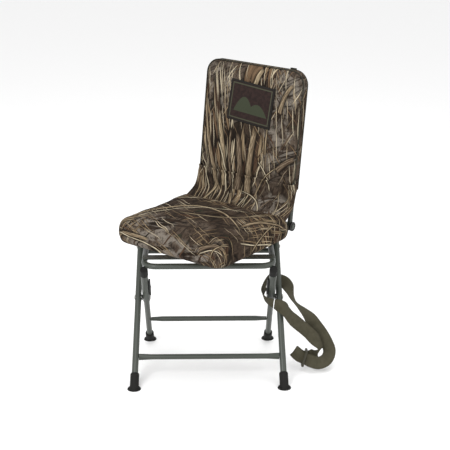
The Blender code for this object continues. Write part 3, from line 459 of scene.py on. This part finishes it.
def rubber():
    tint = (0.008, 0.008, 0.0075)
    g = Nodes("rubber", tint, 0.72, Specular_IOR_Level=0.18)
    place = g.place()
    dust = g.noise(place, 60.0, 4.0)
    g.colour(g.mix(g.math("MULTIPLY", dust, 0.25), tint, (0.022, 0.021, 0.019)))
    g.bump(g.noise(place, 700.0, 2.0), 0.18, 0.0008)
    return g.material


def moulded_plastic(name, tint):
    g = Nodes(name, tint, 0.45, Specular_IOR_Level=0.25)
    place = g.place()
    g.rough(g.math("MULTIPLY_ADD", g.noise(place, 90.0, 2.0), 0.2, 0.35))
    g.bump(g.noise(place, 1400.0, 1.0), 0.12, 0.0004)
    return g.material


def zinc_plate():
    g = Nodes("zinc_plate", (0.46, 0.46, 0.45), 0.36, Metallic=1.0)
    spots = g.noise(g.place(), 160.0, 4.0)
    g.rough(g.math("MULTIPLY_ADD", spots, 0.28, 0.24))
    g.colour(g.mix(spots, (0.38, 0.38, 0.37), (0.56, 0.55, 0.52)))
    return g.material


def plywood():
    g = Nodes("plywood", (0.32, 0.21, 0.12), 0.62)
    x, y, z = g.separate(g.place())
    stretched = g.combine(g.math("MULTIPLY", x, 3.0), g.math("MULTIPLY", y, 40.0), z)
    grain = g.noise(stretched, 4.0, 5.0, 0.6, 0.6)
    g.colour(g.ramp(grain, (0.35, (0.15, 0.095, 0.054)), (0.65, (0.26, 0.180, 0.105))))
    plies = g.math("SINE", g.math("MULTIPLY", z, 2 * math.pi / 0.003))
    g.bump(g.math("ADD", grain, g.math("MULTIPLY", plies, 0.2)), 0.2, 0.0006)
    return g.material


def dark_cloth(name, tint):
    g = Nodes(name, tint, 0.85, Specular_IOR_Level=0.12)
    place = g.place()
    x, y, z = g.separate(place)
    g.colour(g.mix(g.noise(place, 35.0, 3.0), tint, tuple(1.7 * c for c in tint)))
    g.bump(weave_height(g, g.math("ADD", x, y), z, 0.0013), 0.4, 0.0005)
    return g.material


def thread(name, tint):
    g = Nodes(name, tint, 0.8, Specular_IOR_Level=0.15)
    g.bump(g.noise(g.place(), 2200.0, 1.0), 0.4, 0.0003)
    return g.material


def webbing():
    """Herringbone ribs along the strap, from its print map: x across its width, y along its length."""
    g = Nodes("webbing", (0.10, 0.095, 0.065), 0.82, Specular_IOR_Level=0.15)
    x, y, _ = g.separate(g.add("UVMap", uv_map="print").outputs[0])
    side = g.math("PINGPONG", x, 0.0042)
    ribs = g.math("SINE", g.math("MULTIPLY", g.math("ADD", y, side), 2 * math.pi / 0.0021))
    rows = g.math("SINE", g.math("MULTIPLY", x, 2 * math.pi / 0.0014))
    stripe = g.step(g.math("ABSOLUTE", x), WEBBING_HALF - 0.0035, WEBBING_HALF - 0.0025)
    wear = g.noise(g.combine(x, y, 1.0), 60.0, 4.0)
    tint = g.mix(g.step(wear, 0.25, 0.80), (0.056, 0.051, 0.032), (0.078, 0.070, 0.046))
    tint = g.mix(g.math("MULTIPLY_ADD", ribs, 0.2, 0.2), tint, (0.045, 0.042, 0.028))
    g.colour(g.mix(g.math("MULTIPLY", stripe, 0.35), tint, (0.055, 0.050, 0.034)))
    g.bump(g.math("ADD", ribs, g.math("MULTIPLY", rows, 0.4)), 0.55, 0.0006)
    return g.material


def patch():
    """The sewn label: a stitched border round a maroon field with a plain pair of hills on it."""
    g = Nodes("patch", (0.05, 0.03, 0.03), 0.8, Specular_IOR_Level=0.12)
    x, y, _ = g.separate(g.add("UVMap", uv_map="print").outputs[0])
    past_x = g.math("SUBTRACT", g.math("ABSOLUTE", x), BADGE_HALF_X)
    past_y = g.math("SUBTRACT", g.math("ABSOLUTE", y), BADGE_HALF_Z)
    rim = g.math("MAXIMUM", past_x, past_y)
    worn = g.noise(g.combine(x, y, 2.0), 90.0, 3.0)
    colour = g.mix(g.step(worn, 0.3, 0.7), (0.016, 0.010, 0.009), (0.028, 0.016, 0.014))
    line = g.math("MULTIPLY", g.step(rim, -0.0115, -0.0108), g.step(rim, -0.0075, -0.0082))
    hills = g.math("MAXIMUM", hill(g, x, -0.022, 0.046, 0.036), hill(g, x, 0.026, 0.032, 0.038))
    above = g.math("SUBTRACT", y, g.math("SUBTRACT", hills, 0.030))
    mark = g.math("MULTIPLY", g.step(above, 0.0005, -0.0005), g.step(y, -0.0315, -0.0300))
    colour = g.mix(mark, colour, (0.036, 0.041, 0.025))
    colour = g.mix(line, colour, (0.050, 0.053, 0.034))
    colour = g.mix(g.step(rim, -0.0060, -0.0050), colour, (0.012, 0.011, 0.010))
    g.colour(colour)
    threads = g.math("SINE", g.math("MULTIPLY", g.math("ADD", x, y), 2 * math.pi / 0.0009))
    g.bump(g.math("ADD", g.math("MULTIPLY", threads, 0.3), g.math("ADD", mark, line)), 0.5, 0.0005)
    return g.material


def hill(g, x, middle, height, half):
    """Height of a rounded hill at each x."""
    share = g.math("DIVIDE", g.math("SUBTRACT", x, middle), half)
    bell = g.math("SUBTRACT", 1.0, g.math("MULTIPLY", share, share), clamp=True)
    return g.math("MULTIPLY", bell, height)


# A zone is (x, y, half width, half height). A layer is (whether it fans out, the zones it grows in or None
# for everywhere, its leaves). Leaves are (angle, width, length, bend, seed, share, tints). A stalk is
# (start, end, sag, width, tint).
BACK_REEDS = [
    (-0.09, 0.17, 0.12, 0.14),
    (0.01, 0.15, 0.07, 0.13),
    (0.02, 0.43, 0.08, 0.07),
    (-0.14, 0.30, 0.05, 0.12),
]
BACK_LAYERS = [
    (False, None, (64, 0.013, 0.110, 0.030, 3, 0.30, (MUD, STONE, BARK))),
    (True, BACK_REEDS, (3, 0.022, 0.210, 0.020, 1, 0.60, (MUD, RUST, TAN))),
    (False, None, (-40, 0.0050, 0.110, 0.020, 5, 0.16, (RUST, TAN, MUD))),
    (True, BACK_REEDS, (-6, 0.011, 0.150, 0.022, 2, 0.50, (RUST, TAN, STRAW))),
    (False, None, (30, 0.0042, 0.100, 0.016, 4, 0.14, (STRAW, RUST, PALE))),
    (True, BACK_REEDS, (5, 0.0062, 0.140, 0.014, 7, 0.34, (TAN, PALE, STRAW))),
    (False, None, (-8, 0.0027, 0.150, 0.018, 9, 0.22, (PALE, PALE, STRAW))),
]
BACK_CLOUDS = [
    (-0.12, 0.38, 0.07, 0.08),
    (0.13, 0.40, 0.06, 0.07),
    (0.11, 0.25, 0.06, 0.10),
    (0.12, 0.05, 0.07, 0.05),
]
BACK_STALKS = [
    ((-0.085, 0.060), (-0.170, 0.345), 0.010, 0.012, TAN),
    ((-0.070, 0.085), (-0.112, 0.300), -0.006, 0.015, STRAW),
    ((-0.045, 0.095), (-0.060, 0.260), 0.006, 0.008, RUST),
    ((-0.060, 0.060), (-0.105, 0.215), -0.010, 0.005, PALE),
    ((-0.020, 0.080), (-0.035, 0.250), -0.008, 0.017, RUST),
    ((0.020, 0.070), (0.030, 0.270), 0.008, 0.020, TAN),
    ((0.005, 0.340), (0.035, 0.452), 0.006, 0.016, STRAW),
    ((0.110, 0.330), (0.150, 0.420), 0.008, 0.012, TAN),
    ((0.072, 0.200), (0.078, 0.340), 0.004, 0.0045, STRAW),
    ((0.050, 0.175), (0.100, 0.100), 0.006, 0.0035, PALE),
    ((0.062, 0.115), (0.125, 0.175), 0.004, 0.0030, STRAW),
    ((0.118, 0.160), (0.172, 0.205), 0.003, 0.015, RUST),
    ((-0.172, 0.170), (-0.125, 0.060), 0.006, 0.0035, PALE),
    ((-0.100, 0.090), (-0.125, 0.005), 0.004, 0.009, STRAW),
    ((-0.040, 0.060), (0.030, -0.010), -0.010, 0.008, TAN),
    ((0.000, 0.080), (0.090, 0.020), 0.010, 0.0035, PALE),
]
SEAT_CORNERS = [
    (-0.19, -0.20, 0.09, 0.06),
    (0.17, -0.20, 0.07, 0.05),
    (0.20, 0.04, 0.09, 0.10),
    (-0.05, 0.12, 0.16, 0.06),
]
SEAT_LAYERS = [
    (False, None, (75, 0.016, 0.110, 0.040, 13, 0.32, (MUD, BARK, RUST))),
    (False, SEAT_CORNERS, (-58, 0.010, 0.110, 0.030, 11, 0.50, (MUD, RUST, TAN))),
    (False, None, (30, 0.0060, 0.120, 0.030, 15, 0.20, (RUST, BARK, TAN))),
    (False, SEAT_CORNERS, (102, 0.0060, 0.100, 0.020, 12, 0.45, (TAN, STRAW, RUST))),
    (False, None, (112, 0.0027, 0.130, 0.040, 17, 0.18, (PALE, TAN, STRAW))),
    (False, SEAT_CORNERS, (20, 0.0034, 0.090, 0.014, 19, 0.30, (PALE, STRAW, TAN))),
]
SEAT_CLOUDS = [(-0.09, -0.16, 0.09, 0.05), (-0.03, -0.23, 0.13, 0.05), (0.10, -0.24, 0.06, 0.04)]
SEAT_STALKS = [
    ((-0.172, -0.198), (0.183, -0.084), 0.165, 0.0090, STRAW),
    ((-0.150, -0.190), (0.120, 0.060), 0.070, 0.0035, PALE),
    ((-0.120, -0.238), (0.000, -0.262), 0.006, 0.0040, PALE),
    ((-0.190, -0.232), (-0.060, -0.228), 0.004, 0.012, TAN),
    ((-0.195, -0.222), (-0.070, -0.240), -0.004, 0.0030, PALE),
    ((-0.200, -0.205), (-0.140, -0.170), 0.006, 0.010, STRAW),
    ((-0.210, -0.215), (-0.120, -0.150), 0.012, 0.0045, PALE),
    ((-0.205, -0.190), (-0.110, -0.130), -0.006, 0.007, TAN),
    ((0.120, -0.215), (0.205, -0.180), 0.010, 0.014, RUST),
    ((0.125, -0.225), (0.215, -0.195), 0.006, 0.0035, PALE),
    ((0.170, -0.240), (0.200, -0.150), 0.010, 0.0035, STRAW),
    ((0.205, -0.100), (0.260, 0.080), -0.010, 0.0040, PALE),
    ((0.250, -0.060), (0.190, 0.090), 0.010, 0.0040, STRAW),
    ((0.150, -0.040), (0.230, 0.110), 0.016, 0.0070, TAN),
    ((-0.060, -0.060), (0.170, 0.100), -0.040, 0.0040, STRAW),
    ((-0.190, 0.020), (0.010, 0.130), 0.016, 0.0045, PALE),
]


# ---------------------------------------------------------------- mesh helpers


def from_bmesh(name, bm):
    bmesh.ops.recalc_face_normals(bm, faces=bm.faces)
    mesh = bpy.data.meshes.new(name)
    bm.to_mesh(mesh)
    bm.free()
    for face in mesh.polygons:
        face.use_smooth = True
    return link(name, mesh)


def paint(obj, material):
    obj.data.materials.clear()
    obj.data.materials.append(material)
    return obj


def uv_quads(bm, rings, layer, around):
    """Quads between each ring of (vertex, uv) pairs and the next. around closes each ring into a loop."""
    for low, high in zip(rings, rings[1:]):
        for k in range(len(low) if around else len(low) - 1):
            after = (k + 1) % len(low)
            corners = (low[k], low[after], high[after], high[k])
            face = bm.faces.new([vertex for vertex, uv in corners])
            for loop, (vertex, uv) in zip(face.loops, corners):
                loop[layer].uv = uv


def thickened(obj, thickness):
    solid = obj.modifiers.new("thickness", "SOLIDIFY")
    solid.thickness = thickness
    solid.offset = 0
    return apply_modifiers(obj)


def apply_modifiers(obj):
    graph = bpy.context.evaluated_depsgraph_get()
    mesh = bpy.data.meshes.new_from_object(obj.evaluated_get(graph))
    obj.modifiers.clear()
    obj.data = mesh
    for face in mesh.polygons:
        face.use_smooth = True
    return obj


def smooth_curve(points, steps):
    """Points on a smooth curve through every given point, with this many steps between two."""
    points = [Vector(p) for p in points]
    ends = [2 * points[0] - points[1], *points, 2 * points[-1] - points[-2]]
    curve = []
    for a, b, c, d in zip(ends, ends[1:], ends[2:], ends[3:]):
        for k in range(steps):
            t = k / steps
            bend = (2 * a - 5 * b + 4 * c - d) * t**2 + (3 * b - a - 3 * c + d) * t**3
            curve.append(0.5 * (2 * b + (c - a) * t + bend))
    curve.append(points[-1])
    return curve


def print_map(obj, where):
    """Gives each vertex its place on the printed cloth, in metres, from where(point)."""
    mesh = obj.data
    layer = mesh.uv_layers.get("print") or mesh.uv_layers.new(name="print")
    places = [where(vertex.co) for vertex in mesh.vertices]
    for loop in mesh.loops:
        layer.data[loop.index].uv = places[loop.vertex_index]


def rounded_box(name, half_x, low, high, corner, edge, place):
    """A box from low to high (y and z, with half_x each side), with rounded upright corners and edges."""
    bm = bmesh.new()
    bmesh.ops.create_cube(bm, size=1)
    size = Vector((2 * half_x, high[0] - low[0], high[1] - low[1]))
    bmesh.ops.scale(bm, vec=size, verts=bm.verts)
    bmesh.ops.translate(bm, vec=(0, (high[0] + low[0]) / 2, (high[1] + low[1]) / 2), verts=bm.verts)
    upright = [e for e in bm.edges if abs((e.verts[0].co - e.verts[1].co).z) > 1e-4]
    bmesh.ops.bevel(bm, geom=upright, offset=corner, segments=8, profile=0.5, affect="EDGES")
    sharp = [e for e in bm.edges if len(e.link_faces) == 2]
    level = [e for e in sharp if abs(e.link_faces[0].normal.z - e.link_faces[1].normal.z) > 0.9]
    bmesh.ops.bevel(bm, geom=level, offset=edge, segments=6, profile=0.5, affect="EDGES")
    bmesh.ops.transform(bm, matrix=place, verts=bm.verts)
    return from_bmesh(name, bm)


def remeshed(obj, voxel):
    modifier = obj.modifiers.new("remesh", "REMESH")
    modifier.mode = "VOXEL"
    modifier.voxel_size = voxel
    smooth = obj.modifiers.new("smooth", "SMOOTH")
    smooth.iterations = 3
    return apply_modifiers(obj)


def puffed(obj, pressure, cap, held):
    """Swells a closed cover by cloth simulation, then subdivides it once.

    held(point) is 1 where the cover stays fixed, and no point moves further than cap.
    """
    start = [vertex.co.copy() for vertex in obj.data.vertices]
    cloth = obj.modifiers.new("cloth", "CLOTH")
    settings = cloth.settings
    settings.quality = 5
    settings.mass = 0.3
    settings.tension_stiffness = 14
    settings.compression_stiffness = 14
    settings.bending_stiffness = 0.6
    settings.use_pressure = True
    settings.uniform_pressure_force = pressure
    settings.effector_weights.gravity = 0
    group = obj.vertex_groups.new(name="held")
    for vertex in obj.data.vertices:
        group.add([vertex.index], held(vertex.co), "REPLACE")
    settings.vertex_group_mass = "held"
    for frame_number in range(1, 21):
        bpy.context.scene.frame_set(frame_number)
    apply_modifiers(obj)
    bpy.context.scene.frame_set(1)
    for vertex, place in zip(obj.data.vertices, start):
        move = vertex.co - place
        if move.length > cap:
            vertex.co = place + move * (cap / move.length)
    subdivide = obj.modifiers.new("subdivide", "SUBSURF")
    subdivide.levels = 1
    subdivide.render_levels = 1
    return apply_modifiers(obj)


def laid_on(obj, points, direction, lift):
    """Each point moved along direction on to obj's surface, then lifted off it by this much."""
    tree = BVHTree.FromPolygons([v.co for v in obj.data.vertices], [f.vertices for f in obj.data.polygons])
    direction = Vector(direction).normalized()
    laid = []
    for point in points:
        hit = tree.ray_cast(Vector(point) - direction * 0.05, direction)[0]
        laid.append((hit or Vector(point)) - direction * lift)
    return laid


def cord_along(name, points, radius, sides=8):
    """A thin round cord through the points, for piping."""
    bm = bmesh.new()
    rings = []
    turns = [2 * math.pi * j / sides for j in range(sides)]
    for before, middle, after in zip([points[0], *points], points, [*points[1:], points[-1]]):
        ahead = (after - before).normalized()
        side = ahead.cross(Vector((0.13, 0.21, 1.0))).normalized()
        up = ahead.cross(side)
        rings.append([bm.verts.new(middle + radius * (side * math.cos(a) + up * math.sin(a))) for a in turns])
    for low, high in zip(rings, rings[1:]):
        for j in range(sides):
            after = (j + 1) % sides
            bm.faces.new((low[j], low[after], high[after], high[j]))
    bm.faces.new(rings[0])
    bm.faces.new(rings[-1])
    return from_bmesh(name, bm)


def stitches(name, points, pitch=0.0042, share=0.62, radius=0.00045):
    """A row of short threads along the points."""
    bm = bmesh.new()
    reach = 0.0
    spans = []
    for a, b in zip(points, points[1:]):
        spans.append((reach, a, b))
        reach += (b - a).length

    def at(distance):
        for start, a, b in reversed(spans):
            if distance >= start:
                return a.lerp(b, min(1.0, (distance - start) / max(1e-9, (b - a).length)))
        return points[0]

    k = 0
    while (k + share) * pitch < reach:
        a, b = at(k * pitch), at((k + share) * pitch)
        k += 1
        run = b - a
        if run.length < 1e-5:
            continue
        made = bmesh.ops.create_cone(
            bm, cap_ends=True, segments=6, radius1=radius, radius2=radius, depth=run.length
        )
        turn = run.to_track_quat("Z", "Y").to_matrix().to_4x4()
        bmesh.ops.transform(bm, matrix=Matrix.Translation((a + b) / 2) @ turn, verts=made["verts"])
    return from_bmesh(name, bm)


# ---------------------------------------------------------------- webbing


def build_strap(material):
    """The flat webbing loop: it hangs, turns on itself, and comes back to its start round the crossing."""
    steps = 8
    middles = [p + WEBBING_SHIFT for p in smooth_curve([middle for middle, across in WEBBING_ROUTE], steps)]
    widths = smooth_curve([Vector(across).normalized() for middle, across in WEBBING_ROUTE], steps)
    section = [(-1, 0), (-0.96, -1), (-0.5, -0.9), (0, -0.9), (0.5, -0.9), (0.96, -1)]
    section += [(1, 0), (0.96, 1), (0.5, 0.9), (0, 0.9), (-0.5, 0.9), (-0.96, 1)]
    bm = bmesh.new()
    layer = bm.loops.layers.uv.new("print")
    rings = []
    reach = 0.0
    for k, middle in enumerate(middles):
        if k:
            reach += (middle - middles[k - 1]).length
        ahead = (middles[min(k + 1, len(middles) - 1)] - middles[max(k - 1, 0)]).normalized()
        across = (widths[k] - ahead * widths[k].dot(ahead)).normalized()
        out = ahead.cross(across) * (WEBBING_THICK / 2)
        ring = []
        for a, b in section:
            vertex = bm.verts.new(middle + across * WEBBING_HALF * a + out * b)
            ring.append((vertex, (WEBBING_HALF * a, reach)))
        rings.append(ring)
    uv_quads(bm, rings, layer, around=True)
    bm.faces.new([vertex for vertex, uv in rings[0]])
    bm.faces.new([vertex for vertex, uv in rings[-1]])
    strap = paint(from_bmesh("carry_strap_webbing", bm), material)
    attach(strap, "front_legs")
    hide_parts("carry_strap")


# ---------------------------------------------------------------- seat


def seat_print(point):
    """Place on the seat's print: from above, with the sides folded out flat."""
    p = SEAT.inverted() @ point
    inner = Vector((
        max(-(SEAT_HALF_X - SEAT_CORNER), min(SEAT_HALF_X - SEAT_CORNER, p.x)),
        max(SEAT_FRONT + SEAT_CORNER, min(SEAT_BACK - SEAT_CORNER, p.y)),
    ))
    out = Vector((p.x, p.y)) - inner
    drop = max(0.0, SEAT_TOP - 0.006 - p.z)
    if out.length < 1e-6:
        return p.x, p.y
    out = out.normalized() * drop
    return p.x + out.x, p.y + out.y


def build_seat(material):
    """The padded seat cover: crowned, rippled, cut back at its top rear edge and swelled."""
    low, high = (SEAT_FRONT, SEAT_LOW), (SEAT_BACK, SEAT_TOP)
    cushion = rounded_box("seat_cushion_cover", SEAT_HALF_X, low, high, SEAT_CORNER, SEAT_EDGE, SEAT)
    remeshed(cushion, 0.005)
    inverse = SEAT.inverted()
    middle_y = (SEAT_FRONT + SEAT_BACK) / 2
    for vertex in cushion.data.vertices:
        p = inverse @ vertex.co
        upper = max(0.0, (p.z - SEAT_LOW) / (SEAT_TOP - SEAT_LOW))
        across = 1 - (p.x / SEAT_HALF_X) ** 2
        deep = 1 - ((p.y - middle_y) / (SEAT_BACK - middle_y)) ** 2
        p.z += upper * SEAT_CROWN * max(0, across) * max(0, deep)
        ripple = noise.noise(Vector((p.x * 13, p.y * 13, 2.0))) * 0.0020
        ripple += noise.noise(Vector((p.x * 34, p.y * 20, 5.0))) * 0.0008
        p.z += ripple * upper
        relief = RELIEF_Z + (RELIEF_Y - p.y) * RELIEF_SLOPE
        if p.z > relief:
            p.z = max(SEAT_LOW + 0.004, relief)
        # Round the pan, the rim of the cover hangs a little lower and hides the pan's edge.
        outside = max(abs(p.x) - PAN_HALF_X, PAN_FRONT - p.y, p.y - PAN_BACK)
        share = max(0.0, min(1.0, outside / RIM_RUN))
        p.z -= RIM_DROP * share * share * (3 - 2 * share) * (1 - 0.8 * upper)
        vertex.co = SEAT @ p

    def underside(point):
        return 1.0 if (inverse @ point).z < SEAT_LOW + 0.004 else 0.0

    puffed(cushion, 3.0, 0.005, underside)
    print_map(cushion, seat_print)
    paint(cushion, material)
    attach(cushion, "seat")
    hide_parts("seat_cushion")


# ---------------------------------------------------------------- backrest


def back_print(point):
    """Place on the backrest's print: from the front, with the edges folded out flat."""
    p = BACK.inverted() @ point
    inner = Vector((
        max(-(BACK_HALF_X - BACK_CORNER), min(BACK_HALF_X - BACK_CORNER, p.x)),
        max(BACK_LOW, min(BACK_HIGH - BACK_CORNER, p.z)),
    ))
    out = Vector((p.x, p.z)) - inner
    drop = max(0.0, p.y - BACK_FRONT - 0.006)
    if out.length < 1e-6:
        return p.x, p.z
    out = out.normalized() * drop
    return p.x + out.x, p.z + out.y


def back_outline(inset):
    """Points round the backrest's outline, from its lower left corner up, over and down, in (x, z)."""
    half, top = BACK_HALF_X - inset, BACK_HIGH - inset
    corner = BACK_CORNER - inset
    turns = [k / 10 * math.pi / 2 for k in range(11)]
    heights = [BACK_LOW + 0.002 + k * 0.02 for k in range(15)]
    points = [(-half, z) for z in heights]
    for a in turns:
        points.append((-half + corner - corner * math.cos(a), top - corner + corner * math.sin(a)))
    points += [(-half + corner + k / 12 * 2 * (half - corner), top) for k in range(1, 12)]
    for a in reversed(turns):
        points.append((half - corner + corner * math.cos(a), top - corner + corner * math.sin(a)))
    return points + [(half, z) for z in reversed(heights)]


def build_back_front(material):
    """The padded front of the backrest, swelled by the cloth simulation."""
    inverse = BACK.inverted()
    low = (BACK_LOW, -BACK_SPLIT + 0.001)
    high = (BACK_HIGH, -BACK_FRONT - 0.003)
    cover = rounded_box("back_cushion_cover", BACK_HALF_X - 0.001, low, high, BACK_CORNER, 0.0065, UPRIGHT)
    remeshed(cover, 0.005)
    for vertex in cover.data.vertices:
        p = inverse @ vertex.co
        front = max(0.0, min(1.0, (-BACK_SPLIT - p.y) / (-BACK_SPLIT - BACK_FRONT)))
        across = max(0.0, 1 - (p.x / BACK_HALF_X) ** 2)
        tall = max(0.0, 1 - ((p.z - BACK_MIDDLE_Z) / BACK_HALF_Z) ** 2)
        ripple = noise.noise(Vector((p.x * 12, p.z * 9, 1.0))) * 0.0022
        ripple += noise.noise(Vector((p.x * 40, p.z * 16, 7.0))) * 0.0007
        p.y -= front * (0.002 * across * tall + ripple)
        vertex.co = BACK @ p

    def rim(point):
        return 1.0 if (inverse @ point).y > -BACK_SPLIT - 0.003 else 0.0

    puffed(cover, 2.5, 0.004, rim)
    print_map(cover, back_print)
    paint(cover, material)
    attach(cover, "backrest")
    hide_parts("back_cushion")
    return cover


def build_back_rear(material):
    """The plain panel that closes the backrest's cover behind."""
    inverse = BACK.inverted()
    low = (BACK_LOW + 0.003, -BACK_REAR)
    high = (BACK_HIGH, -BACK_SPLIT)
    rear = rounded_box("back_rear_cover", BACK_HALF_X - 0.001, low, high, BACK_CORNER, 0.0024, UPRIGHT)
    remeshed(rear, 0.003)
    for vertex in rear.data.vertices:
        p = inverse @ vertex.co
        if p.y > BACK_SPLIT + 0.003:
            p.y -= 0.0010 * (1 + noise.noise(Vector((p.x * 14, p.z * 10, 4.0))))
        vertex.co = BACK @ p
    paint(rear, material)
    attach(rear, "backrest")
    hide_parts("back_panel")
    return rear


def build_back_wall(material):
    """The side wall of the backrest's cover, which hides the tube between the front and the rear."""
    rows = 7
    bulge_reach = 0.17
    top_starts = 0.42
    bm = bmesh.new()
    columns = []
    for x, z in back_outline(0.0):
        column = []
        for k in range(rows):
            y = -BACK_SPLIT - 0.004 + k / (rows - 1) * (2 * BACK_SPLIT + 0.006)
            bulge = 0.0012 * math.sin(math.pi * k / (rows - 1))
            rise = bulge if z > top_starts else 0
            column.append(bm.verts.new(BACK @ Vector((x * (1 + bulge / bulge_reach), y, z + rise))))
        columns.append(column)
    for a, b in zip(columns, columns[1:]):
        for k in range(rows - 1):
            bm.faces.new((a[k], b[k], b[k + 1], a[k + 1]))
    wall = thickened(from_bmesh("back_side_wall", bm), 0.0012)
    print_map(wall, back_print)
    paint(wall, material)
    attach(wall, "backrest")


def build_back_trim(cover, rear, piping_material, thread_material):
    """Stitching on the front and the rear of the backrest, its folded tab, and piping round both edges."""
    row = [BACK @ Vector((-0.168 + k * 0.004, BACK_FRONT, BACK_LOW + 0.014)) for k in range(85)]
    hem = [BACK @ Vector((x, BACK_REAR, z)) for x, z in back_outline(0.009) if z > BACK_LOW + 0.012]
    pieces = [
        paint(stitches("back_lower_seam", laid_on(cover, row, BACK_WARD, 0.0002)), thread_material),
        paint(stitches("back_rear_stitching", laid_on(rear, hem, -BACK_WARD, 0.0002)), thread_material),
    ]
    tab = rounded_box("back_top_tab", 0.010, (-0.0045, -0.0025), (0.0045, 0.0025), 0.001, 0.0008, TAB)
    pieces.append(paint(tab, piping_material))
    pipings = [
        ("back_piping_front", -BACK_SPLIT - 0.0045, 0.0015),
        ("back_piping_rear", BACK_SPLIT + 0.001, 0.0020),
    ]
    for name, y, radius in pipings:
        piping = cord_along(name, [BACK @ Vector((x, y, z)) for x, z in back_outline(-0.0006)], radius)
        pieces.append(paint(piping, piping_material))
    for piece in pieces:
        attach(piece, "backrest")


def build_lower_cover(material):
    """The loose cloth from the foot of the backrest down on to the seat, flaring out at its sides."""
    columns = 64
    bm = bmesh.new()
    layer = bm.loops.layers.uv.new("print")
    grid = []
    spine = smooth_curve([(0, y, z) for y, z in COVER_LINE], 11)
    for i, middle in enumerate(spine):
        s = i / (len(spine) - 1)
        half = COVER_HALF_TOP + COVER_FLARE * s**1.6
        row = []
        for k in range(columns + 1):
            q = 2 * k / columns - 1
            # The outer edges wrap back round the sides of the backrest.
            wrap = max(0.0, abs(q) - 0.88) / 0.12
            x = math.copysign(half * min(1.0, abs(q) / 0.94) - 0.001 * wrap, q)
            y = middle.y + 0.032 * wrap**2 * (1 - s) ** 1.2
            z = middle.z - 0.010 * wrap * s
            fold = noise.noise(Vector((x * 16, s * 2.4, 3.0))) * 0.0035
            fold += noise.noise(Vector((x * 42, s * 2.0, 8.0))) * 0.0012
            crease = 0.0035 * math.exp(-((s - 0.10 - 0.03 * x / 0.17) / 0.05) ** 2)
            y += fold * math.sin(math.pi * min(1.0, s * 1.1)) + crease
            vertex = bm.verts.new(SEAT @ Vector((x, y, z)))
            row.append((vertex, (x * (1 + 0.1 * wrap), BACK_LOW + 0.02 - s * 0.11)))
        grid.append(row)
    uv_quads(bm, grid, layer, around=False)
    cover = thickened(from_bmesh("lower_back_fabric", bm), 0.0022)
    paint(cover, material)
    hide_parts("lower_back_cover")
    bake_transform(cover)


def build_badge(material, thread_material, cover):
    """The sewn patch: a slightly domed sheet, moved back until it meets the front cover."""
    place = BACK @ Matrix.Translation(BADGE_PLACE) @ Matrix.Rotation(BADGE_TILT, 4, "Y")
    half_x, half_z = BADGE_HALF_X, BADGE_HALF_Z
    bm = bmesh.new()
    bmesh.ops.create_grid(bm, x_segments=40, y_segments=30, size=1)
    layer = bm.loops.layers.uv.new("print")
    for face in bm.faces:
        for loop in face.loops:
            loop[layer].uv = (loop.vert.co.x * half_x, loop.vert.co.y * half_z)
    for vertex in bm.verts:
        x, y = vertex.co.x, vertex.co.y
        rim = max(abs(x), abs(y))
        puff = 0.0008 * (1 - rim**6)
        vertex.co = Vector((x * half_x, -puff - 0.0012 * (1 - 0.5 * (x * x + y * y)), y * half_z))
    bmesh.ops.transform(bm, matrix=place, verts=bm.verts)
    marks = [(-half_x, 0), (half_x, 0), (0, half_z), (0, -half_z), (0, 0)]
    before = [place @ Vector((x, 0, z)) for x, z in marks]
    after = laid_on(cover, before, BACK_WARD, 0.0006)
    shift = min((b - a).dot(BACK_WARD) for a, b in zip(before, after))
    bmesh.ops.translate(bm, vec=BACK_WARD * shift, verts=bm.verts)
    badge = thickened(from_bmesh("badge_patch", bm), 0.0016)
    paint(badge, material)
    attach(badge, "backrest")
    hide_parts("badge")

    inset = 0.0030
    corners = [(-1, -1), (1, -1), (1, 1), (-1, 1), (-1, -1)]
    row = [place @ Vector((x * (half_x - inset), 0, z * (half_z - inset))) for x, z in corners]
    row = [a.lerp(b, k / 12) for a, b in zip(row, row[1:]) for k in range(12)]
    row = laid_on(badge, row, BACK_WARD, 0.0002)
    sewing = paint(stitches("badge_stitching", [*row, row[0]], 0.0030), thread_material)
    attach(sewing, "backrest")


# ---------------------------------------------------------------- put it together


build_stage()
camo_back = camouflage("camouflage_back", BACK_LAYERS, BACK_STALKS, BACK_CLOUDS, ((-0.02, -0.30), 0.40))
camo_seat = camouflage("camouflage_seat", SEAT_LAYERS, SEAT_STALKS, SEAT_CLOUDS, ((0, -1), 1))
steel = painted_steel()
plastic = moulded_plastic("moulded_plastic", (0.008, 0.008, 0.008))
slider = moulded_plastic("slider_plastic", (0.040, 0.037, 0.025))
zinc = zinc_plate()
backing = dark_cloth("backing_cloth", (0.014, 0.014, 0.012))
binding = dark_cloth("binding_tape", (0.022, 0.021, 0.016))
web = webbing()
dark_thread = thread("dark_thread", (0.030, 0.028, 0.022))
finishes = {
    "paint": steel,
    "rubber": rubber(),
    "black_plastic": plastic,
    "zinc": zinc,
    "plywood": plywood(),
    "camo_fabric": camo_back,
    "backing_fabric": backing,
    "webbing": web,
    "badge_fabric": backing,
}
for node in frame["nodes"].values():
    for holder in node.material_slots:
        holder.material = finishes[holder.material.name.split(".")[0]]
    for face in node.data.polygons:
        face.use_smooth = True
    node.data.set_sharp_from_angle(angle=math.radians(32))
for name, finish in (("hinge_rivet_left", steel), ("hinge_rivet_right", steel), ("strap_slider", slider)):
    for holder in frame["nodes"][name].material_slots:
        holder.material = finish

build_strap(web)
build_seat(camo_seat)
back_cover = build_back_front(camo_back)
back_rear = build_back_rear(backing)
build_back_wall(camo_back)
build_back_trim(back_cover, back_rear, binding, dark_thread)
build_lower_cover(camo_back)
build_badge(patch(), dark_thread, back_cover)
